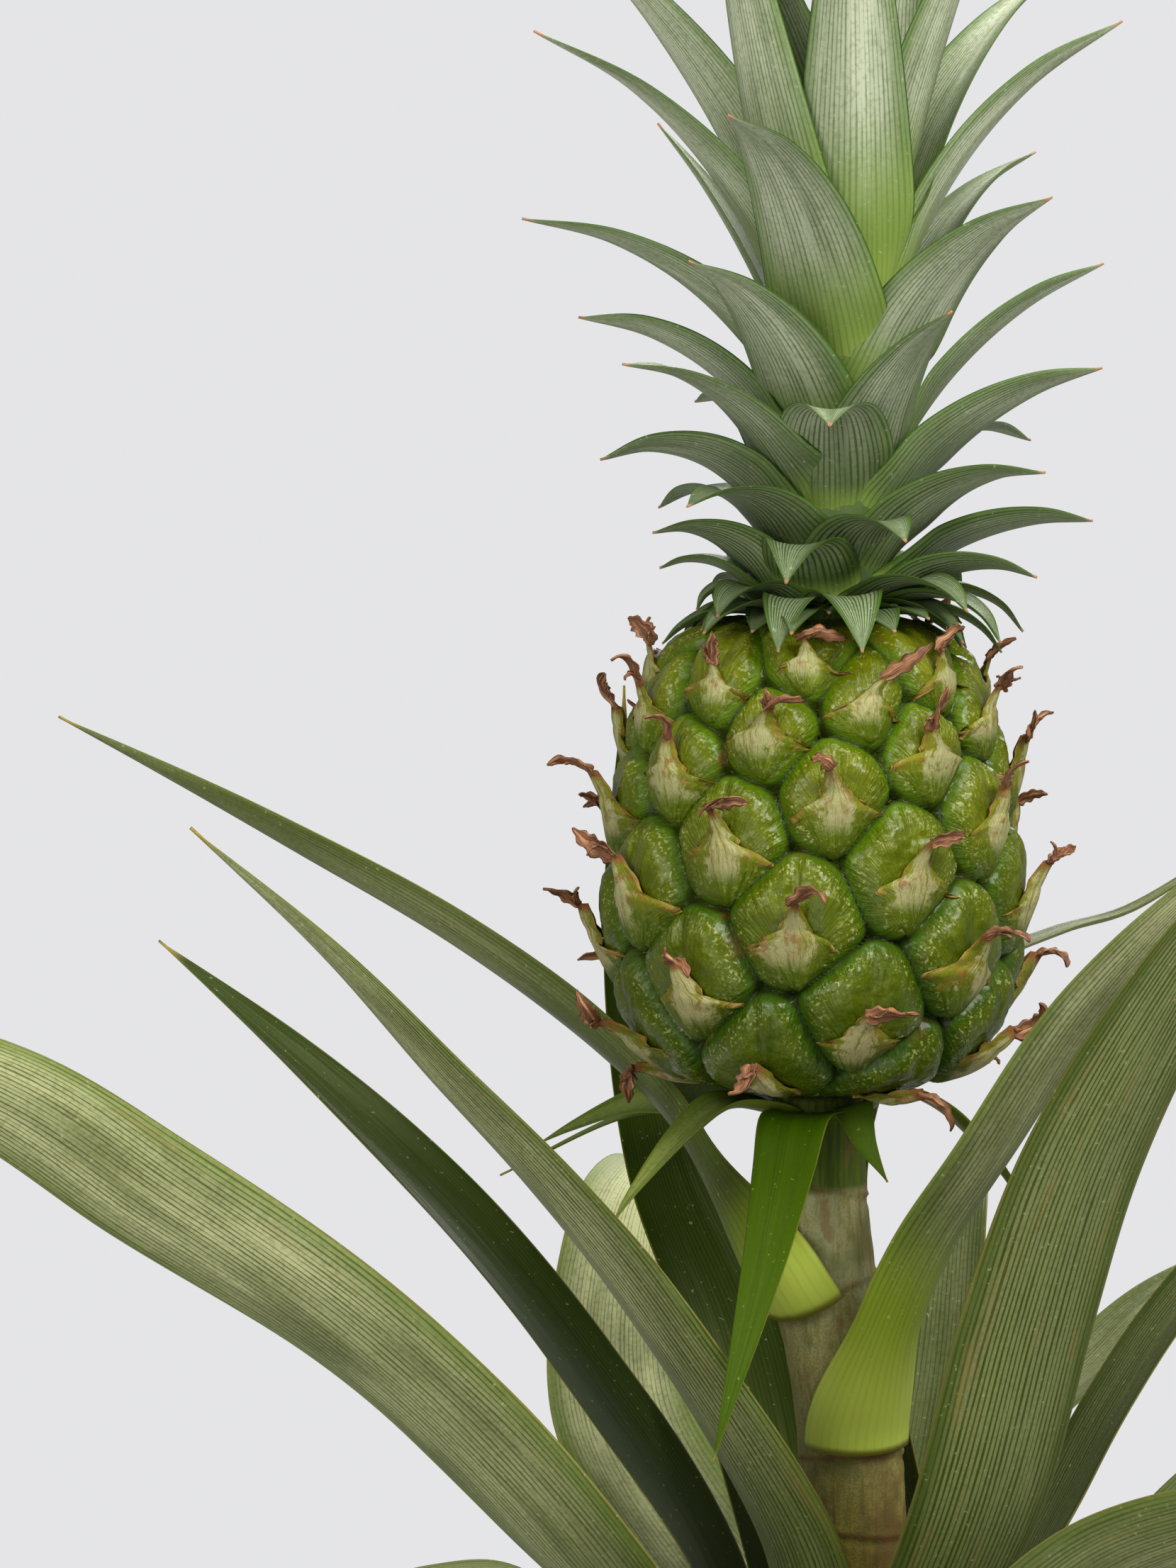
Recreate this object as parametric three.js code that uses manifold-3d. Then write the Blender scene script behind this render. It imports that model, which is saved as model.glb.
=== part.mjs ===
// Potted pineapple plant: a fruiting plant in a plain pot. Millimetres, +Z up.
// The origin is the middle of the pot's underside.
import * as THREE from 'three';
import { ConvexGeometry } from 'three/addons/geometries/ConvexGeometry.js';
import { mergeVertices } from 'three/addons/utils/BufferGeometryUtils.js';
import Module from 'manifold-3d';

const wasm = await Module();
wasm.setup();

// Pot
const POT_HEIGHT = 122;
const POT_RIM_RADIUS = 70;
const POT_FOOT_RADIUS = 52;
const POT_WALL = 5;
const POT_FLOOR = 7;
const POT_SIDES = 48;

// Soil
const SOIL_LEVEL = 106;
const SOIL_LUMPS = 1.2;
const FIT = 0.35;

// Stem: height, radius and sideways lean of its middle
const STEM = [
  [62, 13, 0],
  [84, 15, 0],
  [120, 15, 0],
  [190, 12.2, 0],
  [202, 11, -0.3],
  [225, 10.3, -1],
  [244, 10, -1.3],
  [252, 10, -1.8],
  [260, 10, -2.9],
  [269, 10, -4.5],
  [276, 10, -6],
  [285, 9.4, -6.8],
  [297, 8.7, -7.3],
  [316.2, 8.3, -7.8],
];
const STEM_SIDES = 24;
const SCAR_HEIGHTS = [208, 222, 236, 248, 273, 298];
const SCAR_BULGE = 0.35;

// Leaf blades
const LEAF_LIFT = 1.4;
const LEAF_HUG = 41;
const LEAF_THICK = 1.7;
const LEAF_ROWS = [0, 8, 17, 31, 45, 60, 74, 86, 96];
const LEAF_COLUMNS = 4;
const STEPS = 96;

// Fruit: its side profile as running height, radius and true height
const FRUIT_X = -9;
const FRUIT = [
  [300, 5, 316.9],
  [306, 12, 317.1],
  [311, 18, 317.8],
  [316, 24, 319.2],
  [321, 29.5, 321.8],
  [326, 33.2, 326],
  [332, 36.2, 332],
  [339, 38.4, 339],
  [347, 39.4, 347],
  [355, 39.4, 355],
  [364, 38.6, 364],
  [376, 36.8, 376],
  [386, 34.4, 385.6],
  [393.5, 31.2, 392.6],
  [399, 27.5, 396.6],
  [404, 23, 399.2],
  [409, 18, 400.8],
  [414, 12, 401.6],
  [420, 6, 401.8],
];
const EYE_TURN = -137.6;
const EYE_START = -86.4;
const EYE_LOWEST = -30;
const EYE_HIGHEST = 21;
const EYE_GROOVE = 2.0;
const EYE_BULGE = 1.0;
const FRUIT_BOTTOM = 316.6;
const FRUIT_TOP = 402;

// Crown
const CROWN_BOTTOM = 402.4;
const CROWN_LOWEST = -10;
const CROWN_HIGHEST = 41;
const CROWN_TURN = -137.5;
const CROWN_START = -52;
const CROWN_ROWS = [0, 22, 46, 68, 85, 96];

// Crown leaves that stray from the even spiral: place in it, azimuth, lean, droop, length, height and roll
const CROWN_STRAYS = [
  [-10, -107, 52, 168, 28, 404, 0],
  [-8, -28, 52, 156, 31, 404, 0],
  [-5, -81, 52, 162, 31, 404, 0],
  [-3, -1, 50, 150, 32, 404, 0],
  [-2, -134, 44, 152, 23, 405, 0],
  [0, -42, 44, 142, 28, 405, 0],
  [1, 172, 34, 116, 25, 406, 0],
  [3, -103, 32, 144, 35, 408, 0],
  [5, -14, 43, 113, 35, 404, -14],
  [6, -160, 30, 104, 31, 408, 12],
  [8, -65, 18, 132, 31, 410, 0],
  [9, 145, 25, 124, 37, 414, 0],
  [10, 5, 44, 96, 48, 406, -20],
  [11, -134, 29, 117, 37, 414, 0],
  [13, -29, 27, 94, 47, 409, -12],
  [14, -174, 19, 114, 46, 416, 18],
  [15, 37, 21, 111, 55, 416, 0],
  [16, -94, 21, 116, 50, 422, 0],
  [17, 123, 20, 101, 51, 421, 0],
  [18, -6, 28, 78, 58, 417, -22],
  [19, -144, 23, 89, 56, 421, -8],
  [21, -62, 21, 66, 52, 424, 12],
  [22, 165, 17, 86, 62, 424, 22],
  [23, 21, 23, 69, 73, 422, -24],
  [24, -128, 15, 78, 63, 428, 0],
  [26, -41, 11, 73, 68, 433, -14],
  [27, -165, 22, 85, 77, 434, 4],
  [28, 50, 16, 74, 84, 437, -14],
  [29, -110, 17, 85, 94, 437, 0],
  [30, 144, 21, 44, 74, 437, 16],
  [31, 17, 6, 64, 93, 444, -28],
  [32, -142, 16, 75, 105, 439, -14],
  [34, -94, 15, 22, 117, 446, 0],
  [35, 176, 14, 48, 102, 449, 34],
  [37, -145, 22, 7, 118, 448, 0],
  [39, -15, 7, 27, 96, 458, -14],
];

const COLOURS = {
  pot: 0xe6e1d6,
  soil: 0x3a2a1f,
  stem: 0x7c8a5c,
  leaf: 0x66794a,
  fruit: 0x7f9440,
  crown: 0x62774a,
};

const UP = new THREE.Vector3(0, 0, 1);
const radians = THREE.MathUtils.degToRad;

function smooth(from, to, value) {
  const t = Math.min(1, Math.max(0, (value - from) / (to - from)));
  return t * t * (3 - 2 * t);
}

function along(table, key, column) {
  let i = 0;
  while (i < table.length - 2 && key > table[i + 1][0]) {
    i += 1;
  }
  const t = Math.min(1, Math.max(0, (key - table[i][0]) / (table[i + 1][0] - table[i][0])));
  return table[i][column] + (table[i + 1][column] - table[i][column]) * t;
}

function stemRadius(height) {
  return along(STEM, height, 1);
}

function stemX(height) {
  return along(STEM, height, 2);
}

function mesh(name, geometry, colour, roughness) {
  const material = new THREE.MeshStandardMaterial({ color: colour, roughness, metalness: 0 });
  const result = new THREE.Mesh(geometry, material);
  result.name = name;
  return result;
}

// A closed mesh from corner points and triangles, turned so that it faces out
function closed(points, faces) {
  let volume = 0;
  for (const [a, b, c] of faces) {
    volume += points[a].dot(new THREE.Vector3().crossVectors(points[b], points[c]));
  }
  const geometry = new THREE.BufferGeometry();
  geometry.setAttribute('position', new THREE.Float32BufferAttribute(points.flatMap((p) => p.toArray()), 3));
  geometry.setIndex(faces.flatMap(([a, b, c]) => (volume > 0 ? [a, b, c] : [a, c, b])));
  return geometry;
}

function toSolid(geometry) {
  const bare = geometry.clone();
  bare.deleteAttribute('normal');
  bare.deleteAttribute('uv');
  const merged = mergeVertices(bare, 1e-4);
  const vertProperties = new Float32Array(merged.attributes.position.array);
  const triVerts = new Uint32Array(merged.index.array);
  return new wasm.Manifold(new wasm.Mesh({ numProp: 3, vertProperties, triVerts }));
}

function fused(geometries) {
  let whole = toSolid(geometries[0]);
  for (const geometry of geometries.slice(1)) {
    whole = whole.add(toSolid(geometry));
  }
  const body = whole.decompose().sort((a, b) => b.volume() - a.volume())[0];
  const { vertProperties, triVerts } = body.getMesh();
  const result = new THREE.BufferGeometry();
  result.setAttribute('position', new THREE.Float32BufferAttribute(vertProperties, 3));
  result.setIndex([...triVerts]);
  return result;
}

function turned(profile, sides) {
  const points = profile.map(([radius, height]) => new THREE.Vector2(radius, height));
  const geometry = new THREE.LatheGeometry(points, sides);
  geometry.rotateX(Math.PI / 2);
  geometry.deleteAttribute('normal');
  geometry.deleteAttribute('uv');
  return mergeVertices(geometry, 1e-4);
}

// Pot
function potInside(height) {
  const t = (height - POT_FLOOR) / (POT_HEIGHT - POT_FLOOR);
  return POT_FOOT_RADIUS - POT_WALL + 1 + (POT_RIM_RADIUS - POT_FOOT_RADIUS - 1) * t;
}

function pot() {
  return turned([
    [0, 0],
    [POT_FOOT_RADIUS - 1.5, 0],
    [POT_FOOT_RADIUS, 1.5],
    [POT_RIM_RADIUS - 0.4, POT_HEIGHT - 4],
    [POT_RIM_RADIUS, POT_HEIGHT - 2],
    [POT_RIM_RADIUS - 0.8, POT_HEIGHT - 0.6],
    [POT_RIM_RADIUS - 2.5, POT_HEIGHT],
    [POT_RIM_RADIUS - 4.2, POT_HEIGHT - 0.6],
    [POT_RIM_RADIUS - POT_WALL, POT_HEIGHT - 2.5],
    [potInside(POT_FLOOR + 3), POT_FLOOR + 3],
    [potInside(POT_FLOOR) - 3, POT_FLOOR],
    [0, POT_FLOOR],
  ], POT_SIDES);
}

// Soil: a filled pot with a plain hole for the stem's foot
function lumps(x, y) {
  return SOIL_LUMPS * (Math.sin(x * 0.31 + y * 0.12) * Math.cos(y * 0.27) + 0.6 * Math.sin(x * 0.13 - y * 0.41));
}

function soil() {
  const low = POT_FLOOR + FIT;
  const hole = 15 + FIT;
  const edge = potInside(SOIL_LEVEL) - FIT - 0.2;
  const rings = [edge - 9, edge - 20, edge - 32];
  const geometry = turned([
    [0, low],
    [potInside(low) - 4, low],
    [potInside(low + 4) - FIT - 0.2, low + 4],
    [edge, SOIL_LEVEL - 1],
    ...rings.map((radius) => [radius, SOIL_LEVEL]),
    [hole + 2, SOIL_LEVEL],
    [hole, SOIL_LEVEL - 1],
    [hole, STEM[0][0] - FIT],
    [0, STEM[0][0] - FIT],
  ], POT_SIDES);
  const place = geometry.attributes.position;
  for (let i = 0; i < place.count; i += 1) {
    if (place.getZ(i) > SOIL_LEVEL - 0.1) {
      place.setZ(i, place.getZ(i) + lumps(place.getX(i), place.getY(i)));
    }
  }
  return geometry;
}

// Leaf blades: a strap along a curve, clasping the stem at its foot and folding towards its tip
function footOf(leaf) {
  const angle = radians(leaf.azimuth);
  const lean = radians(leaf.lean);
  const out = new THREE.Vector3(Math.cos(angle), Math.sin(angle), 0);
  const foot = new THREE.Vector3(leaf.axisX, 0, leaf.height).addScaledVector(out, leaf.radius);
  const rise = foot.clone();
  rise.addScaledVector(out, leaf.sheath * Math.sin(lean));
  rise.addScaledVector(UP, leaf.sheath * Math.cos(lean));
  return { out, foot, rise };
}

function archPath(leaf, rise) {
  const pieces = 20;
  const step = (leaf.length - leaf.sheath) / pieces;
  const at = rise.clone();
  const path = [];
  for (let i = 1; i <= pieces; i += 1) {
    const part = (i - 0.5) / pieces;
    const tilt = radians(leaf.lean + (leaf.droop - leaf.lean) * part);
    const heading = radians(leaf.azimuth + leaf.swing * part);
    at.x += step * Math.sin(tilt) * Math.cos(heading);
    at.y += step * Math.sin(tilt) * Math.sin(heading);
    at.z += step * Math.cos(tilt);
    if (i % 5 === 0) {
      path.push(at.clone());
    }
  }
  return path;
}

function evenPoints(points) {
  const curve = new THREE.CatmullRomCurve3(points, false, 'centripetal');
  const fine = curve.getPoints(80);
  const run = [0];
  for (let i = 1; i < fine.length; i += 1) {
    run.push(run[i - 1] + fine[i].distanceTo(fine[i - 1]));
  }
  const result = [];
  let k = 0;
  for (let i = 0; i <= STEPS; i += 1) {
    const want = run[run.length - 1] * i / STEPS;
    while (k < run.length - 2 && run[k + 1] < want) {
      k += 1;
    }
    result.push(fine[k].clone().lerp(fine[k + 1], (want - run[k]) / (run[k + 1] - run[k])));
  }
  return result;
}

function leafWidth(leaf, u) {
  const body = leaf.width * (1 - u ** leaf.taper) * (leaf.neck + (1 - leaf.neck) * smooth(0.15, 0.5, u));
  return body + (leaf.footWidth - leaf.width * leaf.neck) * (1 - smooth(0, 0.2, u));
}

function leafCup(leaf, u, width) {
  const clasp = leaf.hug === 0 ? radians(leaf.cup) : width / 2 / leaf.radius;
  const open = radians(leaf.cup);
  const fold = radians(leaf.tipCup);
  return clasp + (open - clasp) * smooth(0.05, 0.35, u) + (fold - open) * smooth(0.7, 1, u);
}

function blade(leaf, rows, columns, thick) {
  const { out, foot, rise } = footOf(leaf);
  const path = leaf.path ? leaf.path.map((p) => new THREE.Vector3(...p)) : archPath(leaf, rise);
  const middle = evenPoints([foot, rise, ...path]);
  const across = new THREE.Vector3(-out.y, out.x, 0);
  const points = [];
  const index = [];
  for (let i = 0; i <= STEPS; i += 1) {
    const ahead = middle[Math.min(STEPS, i + 1)].clone().sub(middle[Math.max(0, i - 1)]).normalize();
    across.addScaledVector(ahead, -across.dot(ahead)).normalize();
    if (!rows.includes(i)) {
      continue;
    }
    const u = i / STEPS;
    if (i === STEPS) {
      index.push([points.push(middle[i]) - 1]);
      continue;
    }
    const twist = radians(leaf.roll[0] * smooth(0.1, 0.42, u) + (leaf.roll[1] - leaf.roll[0]) * smooth(0.42, 0.92, u));
    const side = across.clone().applyAxisAngle(ahead, twist);
    const inner = new THREE.Vector3().crossVectors(ahead, side);
    const width = Math.max(0.4, leafWidth(leaf, u));
    const cup = leafCup(leaf, u, width);
    const bend = width / 2 / cup;
    const row = { front: [], back: [] };
    for (let j = 0; j <= columns; j += 1) {
      const v = 2 * j / columns - 1;
      const angle = cup * v;
      const at = middle[i].clone();
      at.addScaledVector(side, bend * Math.sin(angle));
      at.addScaledVector(inner, bend * (1 - Math.cos(angle)));
      const normal = inner.clone().multiplyScalar(Math.cos(angle)).addScaledVector(side, -Math.sin(angle));
      const half = thick * (1 - 0.5 * u) * (1 - v * v * 0.6) / 2;
      if (j === 0 || j === columns) {
        const corner = points.push(at) - 1;
        row.front.push(corner);
        row.back.push(corner);
      } else {
        row.front.push(points.push(at.clone().addScaledVector(normal, half)) - 1);
        row.back.push(points.push(at.clone().addScaledVector(normal, -half)) - 1);
      }
    }
    index.push(row);
  }
  const faces = [];
  const last = index.length - 2;
  const tip = index[last + 1][0];
  for (let i = 0; i < last; i += 1) {
    for (let j = 0; j < columns; j += 1) {
      for (const face of ['front', 'back']) {
        const a = index[i][face][j];
        const b = index[i][face][j + 1];
        const c = index[i + 1][face][j + 1];
        const d = index[i + 1][face][j];
        faces.push(...(face === 'front' ? [[a, b, c], [a, c, d]] : [[a, c, b], [a, d, c]]));
      }
    }
  }
  for (let j = 0; j < columns; j += 1) {
    faces.push([index[last].front[j], index[last].front[j + 1], tip]);
    faces.push([index[last].back[j], tip, index[last].back[j + 1]]);
    const { front, back } = index[0];
    if (j > 0) {
      faces.push([front[j], back[j], back[j + 1]]);
    }
    if (j < columns - 1) {
      faces.push([front[j], back[j + 1], front[j + 1]]);
    }
  }
  return closed(points, faces);
}

function stemLeaf(leaf) {
  const full = { taper: 2.8, roll: [0, 0], neck: 0.85, flare: 1, hug: LEAF_HUG, cup: 24, tipCup: 50, lift: LEAF_LIFT, ...leaf };
  full.axisX = stemX(full.height);
  full.radius = stemRadius(full.height) + full.lift;
  const wide = full.width * full.flare;
  full.footWidth = full.hug === 0 ? wide : Math.min(wide, 2 * full.radius * radians(full.hug));
  return full;
}

// Rosette leaves seen above the pot, each led through the points of its middle line
const SHAPED_LEAVES = [
  {
    name: 'leaf_front_left_long', azimuth: 222, height: 157.6, lean: 23, sheath: 31, width: 31, taper: 3.4, roll: [20, 80],
    path: [[-52, -44, 235], [-74, -50, 261], [-96, -56, 282], [-128, -64, 306], [-153, -74, 325], [-185, -92, 339], [-213, -118, 333]],
  },
  {
    name: 'leaf_front_left_narrow', azimuth: 243, height: 184.4, lean: 12, sheath: 26, width: 22.5, taper: 2, roll: [-15, -9],
    path: [[-13, -24, 234], [-41, -32, 281], [-58, -42, 304], [-77, -52, 326], [-96, -62, 348], [-120, -74, 372]],
  },
  {
    name: 'leaf_back_left_dark', azimuth: 158, height: 164.2, lean: 20, sheath: 30, width: 26, taper: 2.4, roll: [-18, -42],
    path: [[-28, 28, 218], [-54, 46, 256], [-72, 54, 278], [-89, 62, 295], [-109, 72, 312], [-140, 86, 336]],
  },
  {
    name: 'leaf_back_left_steep', azimuth: 124, height: 181, lean: 13, sheath: 27, width: 26, taper: 1.8, roll: [-28, -36],
    path: [[-22, 46, 260], [-36, 58, 294], [-44, 70, 342], [-44, 80, 389]],
  },
  {
    name: 'leaf_back_left_arching', azimuth: 100, height: 154.2, lean: 24, sheath: 32, width: 32, taper: 3, roll: [0, -10],
    path: [[-46, 92, 235], [-45, 112, 268], [-38, 140, 279], [-26, 200, 263]],
  },
  {
    name: 'leaf_back_right_arching', azimuth: 74, height: 167.6, lean: 19, sheath: 29, width: 21, taper: 3, roll: [0, 0],
    path: [[20, 72, 249], [24, 90, 274], [28, 116, 280], [33, 170, 266]],
  },
  {
    name: 'leaf_front_right_long', azimuth: 285, height: 170.9, lean: 17, sheath: 29, width: 28.5, taper: 3.4, roll: [-3, -18],
    path: [[20, -50, 249], [27, -60, 282], [35, -70, 312], [47, -82, 340], [58, -92, 360], [78, -108, 384]],
  },
  {
    name: 'leaf_right_folded', azimuth: 11, height: 177, lean: 20, sheath: 27, width: 24, taper: 2.6, roll: [8, 25],
    path: [[41, 24, 231], [52, 30, 250], [66, 38, 269], [90, 48, 293], [115, 56, 309]],
  },
  {
    name: 'leaf_back_right_low', azimuth: 50, height: 147.5, lean: 32, sheath: 36, width: 24, taper: 2.6, roll: [5, 5],
    path: [[36, 62, 238], [51, 74, 249], [68, 90, 261], [101, 120, 272]],
  },
  {
    name: 'leaf_back_right_thin', azimuth: 47, height: 190, lean: 11, sheath: 25, width: 17, taper: 2.2, roll: [0, 0],
    path: [[-1, 34, 289], [6, 48, 315], [23, 66, 330], [46, 84, 338], [62, 92, 342], [93, 104, 361]],
  },
  {
    name: 'leaf_front_right_low', azimuth: 302, height: 150.8, lean: 25, sheath: 33, width: 30, taper: 3, roll: [-14, -60],
    path: [[21, -96, 233], [39, -118, 255], [65, -140, 264], [94, -170, 252]],
  },
  {
    name: 'leaf_stalk_right', azimuth: 279, height: 249, lean: 10, sheath: 4, width: 16, taper: 3, roll: [19, -11], flare: 1.7, hug: 62,
    path: [[4, -20, 273], [11, -26, 291], [22, -34, 310], [34, -44, 332], [45, -54, 348], [66, -70, 373]],
  },
  {
    name: 'leaf_stalk_left', azimuth: 200, height: 274, lean: 32, sheath: 5, width: 16, taper: 2.2, roll: [6, 16], flare: 2.2, hug: 88,
    lift: 1.7, path: [[-34, 14, 308], [-49, 24, 323], [-76, 34, 342], [-109, 44, 360], [-157, 56, 384]],
  },
];

// Older, lower leaves that arch over evenly on their way out
const ARCHING_LEAVES = [
  { azimuth: 288, height: 114, lean: 40, sheath: 30, length: 255, droop: 128, swing: 10, width: 26 },
  { azimuth: 90, height: 117.3, lean: 39, sheath: 30, length: 262, droop: 122, swing: -8, width: 27 },
  { azimuth: 205, height: 120.7, lean: 37, sheath: 30, length: 262, droop: 126, swing: 12, width: 26 },
  { azimuth: 0, height: 124, lean: 36, sheath: 32, length: 280, droop: 118, swing: -10, width: 27 },
  { azimuth: 128, height: 127.4, lean: 35, sheath: 30, length: 226, droop: 140, swing: 14, width: 26 },
  { azimuth: 262, height: 130.8, lean: 33, sheath: 32, length: 285, droop: 124, swing: -12, width: 28 },
  { azimuth: 38, height: 134, lean: 32, sheath: 34, length: 285, droop: 112, swing: 12, width: 27 },
  { azimuth: 321, height: 137.4, lean: 31, sheath: 34, length: 280, droop: 122, swing: -14, width: 27 },
  { azimuth: 165, height: 140.8, lean: 33, sheath: 30, length: 236, droop: 150, swing: 10, width: 27 },
  { azimuth: 238, height: 144.2, lean: 28, sheath: 34, length: 285, droop: 125, swing: 12, width: 27 },
  { azimuth: 345, height: 160.9, lean: 28, sheath: 36, length: 300, droop: 118, swing: 10, width: 27 },
];

// Collar of small bracts that hang under the fruit, grown from the stem's top
const COLLAR = [
  {
    azimuth: 256, height: 312, lean: 72, sheath: 4, width: 15.5, taper: 1.25, cup: 12, tipCup: 30,
    path: [[-13, -17, 313], [-15, -22, 305], [-18, -30, 293], [-22, -38, 279], [-29, -47, 255]],
  },
  { azimuth: 203, height: 311.5, lean: 66, sheath: 4, width: 9, taper: 1.6, path: [[-26, -9, 315], [-33, -14, 311], [-44, -22, 300], [-47, -25, 295]] },
  { azimuth: 306, height: 312.5, lean: 76, sheath: 3, width: 8, taper: 1.3, cup: 16, path: [[-1, -13, 315], [0, -17, 309], [4, -20, 302]] },
  { azimuth: 160, height: 311.5, lean: 62, sheath: 4, width: 9, taper: 1.6, path: [[-28, 20, 312], [-41, 33, 310], [-54, 40, 304], [-61, 44, 300]] },
  { azimuth: 115, height: 311.5, lean: 66, sheath: 4, width: 9, taper: 1.6, path: [[-16, 24, 311], [-30, 38, 308], [-44, 46, 305], [-69, 54, 292]] },
  { azimuth: 30, height: 311.5, lean: 60, sheath: 4, width: 9, taper: 1.8, path: [[7, 8, 315], [16, 14, 311], [29, 26, 297], [36, 32, 286]] },
  { azimuth: 75, height: 311.5, lean: 70, sheath: 3, width: 8, taper: 1.6, cup: 30, path: [[-1, 20, 310], [-2, 24, 305], [-2, 26, 300]] },
];

// Stem with its leaf scars
function stem() {
  const heights = new Set(STEM.map((row) => row[0]));
  for (const scar of SCAR_HEIGHTS) {
    heights.add(scar - 1.2).add(scar).add(scar + 1.2);
  }
  const levels = [...heights].sort((a, b) => a - b);
  const points = [];
  const faces = [];
  levels.forEach((height) => {
    const bulge = SCAR_HEIGHTS.includes(height) ? SCAR_BULGE : 0;
    for (let j = 0; j < STEM_SIDES; j += 1) {
      const angle = 2 * Math.PI * j / STEM_SIDES;
      const radius = stemRadius(height) + bulge;
      points.push(new THREE.Vector3(stemX(height) + radius * Math.cos(angle), radius * Math.sin(angle), height));
    }
  });
  const bottom = points.push(new THREE.Vector3(stemX(levels[0]), 0, levels[0])) - 1;
  const top = points.push(new THREE.Vector3(stemX(levels.at(-1)), 0, levels.at(-1))) - 1;
  for (let j = 0; j < STEM_SIDES; j += 1) {
    const next = (j + 1) % STEM_SIDES;
    for (let i = 0; i < levels.length - 1; i += 1) {
      const a = i * STEM_SIDES;
      const b = a + STEM_SIDES;
      faces.push([a + j, a + next, b + next], [a + j, b + next, b + j]);
    }
    const ceiling = (levels.length - 1) * STEM_SIDES;
    faces.push([bottom, next, j], [top, ceiling + j, ceiling + next]);
  }
  const bracts = COLLAR.map((bract) => {
    const full = stemLeaf({ neck: 1, hug: 0, cup: 40, tipCup: 50, lift: -1, ...bract });
    return blade(full, CROWN_ROWS, 2, 1.2);
  });
  return fused([closed(points, faces), ...bracts]);
}

// Fruit: six-sided eyes on a spiral, each with a groove round it and a pointed bract
function eyeRun(k) {
  const near = Math.min(15, Math.max(-20, k));
  const slope = k > 15 ? 0.92 : 2;
  const run = 376.5 + 1.57 * near - 0.0218 * near * near + (k - near) * slope;
  return Math.min(419, Math.max(301, run));
}

function eyeAngle(k) {
  return EYE_START + EYE_TURN * k;
}

function fruitPoint(run, degrees, lift) {
  const radius = along(FRUIT, run, 1);
  const height = along(FRUIT, run, 2);
  const rise = along(FRUIT, Math.min(420, run + 1), 2) - along(FRUIT, Math.max(300, run - 1), 2);
  const widen = along(FRUIT, Math.min(420, run + 1), 1) - along(FRUIT, Math.max(300, run - 1), 1);
  const length = Math.hypot(rise, widen);
  const out = radius + lift * rise / length;
  const angle = radians(degrees);
  return new THREE.Vector3(FRUIT_X + out * Math.cos(angle), out * Math.sin(angle), height - lift * widen / length);
}

function eyeMiddle(k, others) {
  const runs = [k, ...others].map(eyeRun);
  const run = runs.reduce((sum, value) => sum + value, 0) / 3;
  let angle = eyeAngle(k);
  for (const other of others) {
    const turn = THREE.MathUtils.euclideanModulo(eyeAngle(other) - eyeAngle(k) + 180, 360) - 180;
    angle += turn / 3;
  }
  return { run, angle };
}

function fruit() {
  const points = [];
  const faces = [];
  const corners = new Map();
  const corner = (k, offset) => {
    const key = `${k},${offset}`;
    if (!corners.has(key)) {
      const { run, angle } = eyeMiddle(k, [k + offset, k + 13]);
      corners.set(key, points.push(fruitPoint(run, angle, -EYE_GROOVE)) - 1);
    }
    return corners.get(key);
  };
  const spikes = [];
  const rim = new Map();
  for (let k = EYE_LOWEST; k <= EYE_HIGHEST; k += 1) {
    const ring = [corner(k, 5), corner(k, 8), corner(k - 5, 5), corner(k - 13, 8), corner(k - 13, 5), corner(k - 8, 8)];
    const heart = fruitPoint(eyeRun(k), eyeAngle(k), EYE_BULGE);
    const out = fruitPoint(eyeRun(k), eyeAngle(k), EYE_BULGE + 1).sub(heart);
    const middle = points.push(heart) - 1;
    const inner = ring.map((at) => {
      const half = points[at].clone().lerp(heart, 0.42).addScaledVector(out, 1.1);
      return points.push(half) - 1;
    });
    for (let i = 0; i < 6; i += 1) {
      const next = (i + 1) % 6;
      faces.push([inner[i], inner[next], middle], [ring[i], ring[next], inner[next]], [ring[i], inner[next], inner[i]]);
      rim.set(`${ring[i]},${ring[next]}`, [ring[i], ring[next]]);
    }
    const low = points[ring[3]].clone().add(points[ring[4]]).multiplyScalar(0.5);
    const down = low.clone().sub(heart);
    const side = new THREE.Vector3().crossVectors(out, down).setLength(5.2);
    const small = 1 - 0.75 * smooth(2, 15, k);
    spikes.push(new ConvexGeometry([
      low.clone().lerp(heart, 0.15).add(side),
      low.clone().lerp(heart, 0.15).sub(side),
      low.clone().lerp(heart, 0.4).addScaledVector(out, 3 * small),
      heart.clone().addScaledVector(down, -0.1).addScaledVector(out, 1 + 4.5 * small),
      heart.clone().addScaledVector(out, -4),
    ]));
  }
  const open = [...rim.values()].filter(([a, b]) => !rim.has(`${b},${a}`));
  const foot = points.push(new THREE.Vector3(FRUIT_X, 0, FRUIT_BOTTOM)) - 1;
  const head = points.push(new THREE.Vector3(FRUIT_X, 0, FRUIT_TOP)) - 1;
  for (const [a, b] of open) {
    faces.push([b, a, points[a].z < 360 ? foot : head]);
  }
  return fused([closed(points, faces), ...spikes]);
}

// Crown: short leaves on a spiral, longer and steeper towards the top
function crownX(height) {
  return -7.5 + 6 * smooth(CROWN_BOTTOM, 450, height);
}

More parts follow.
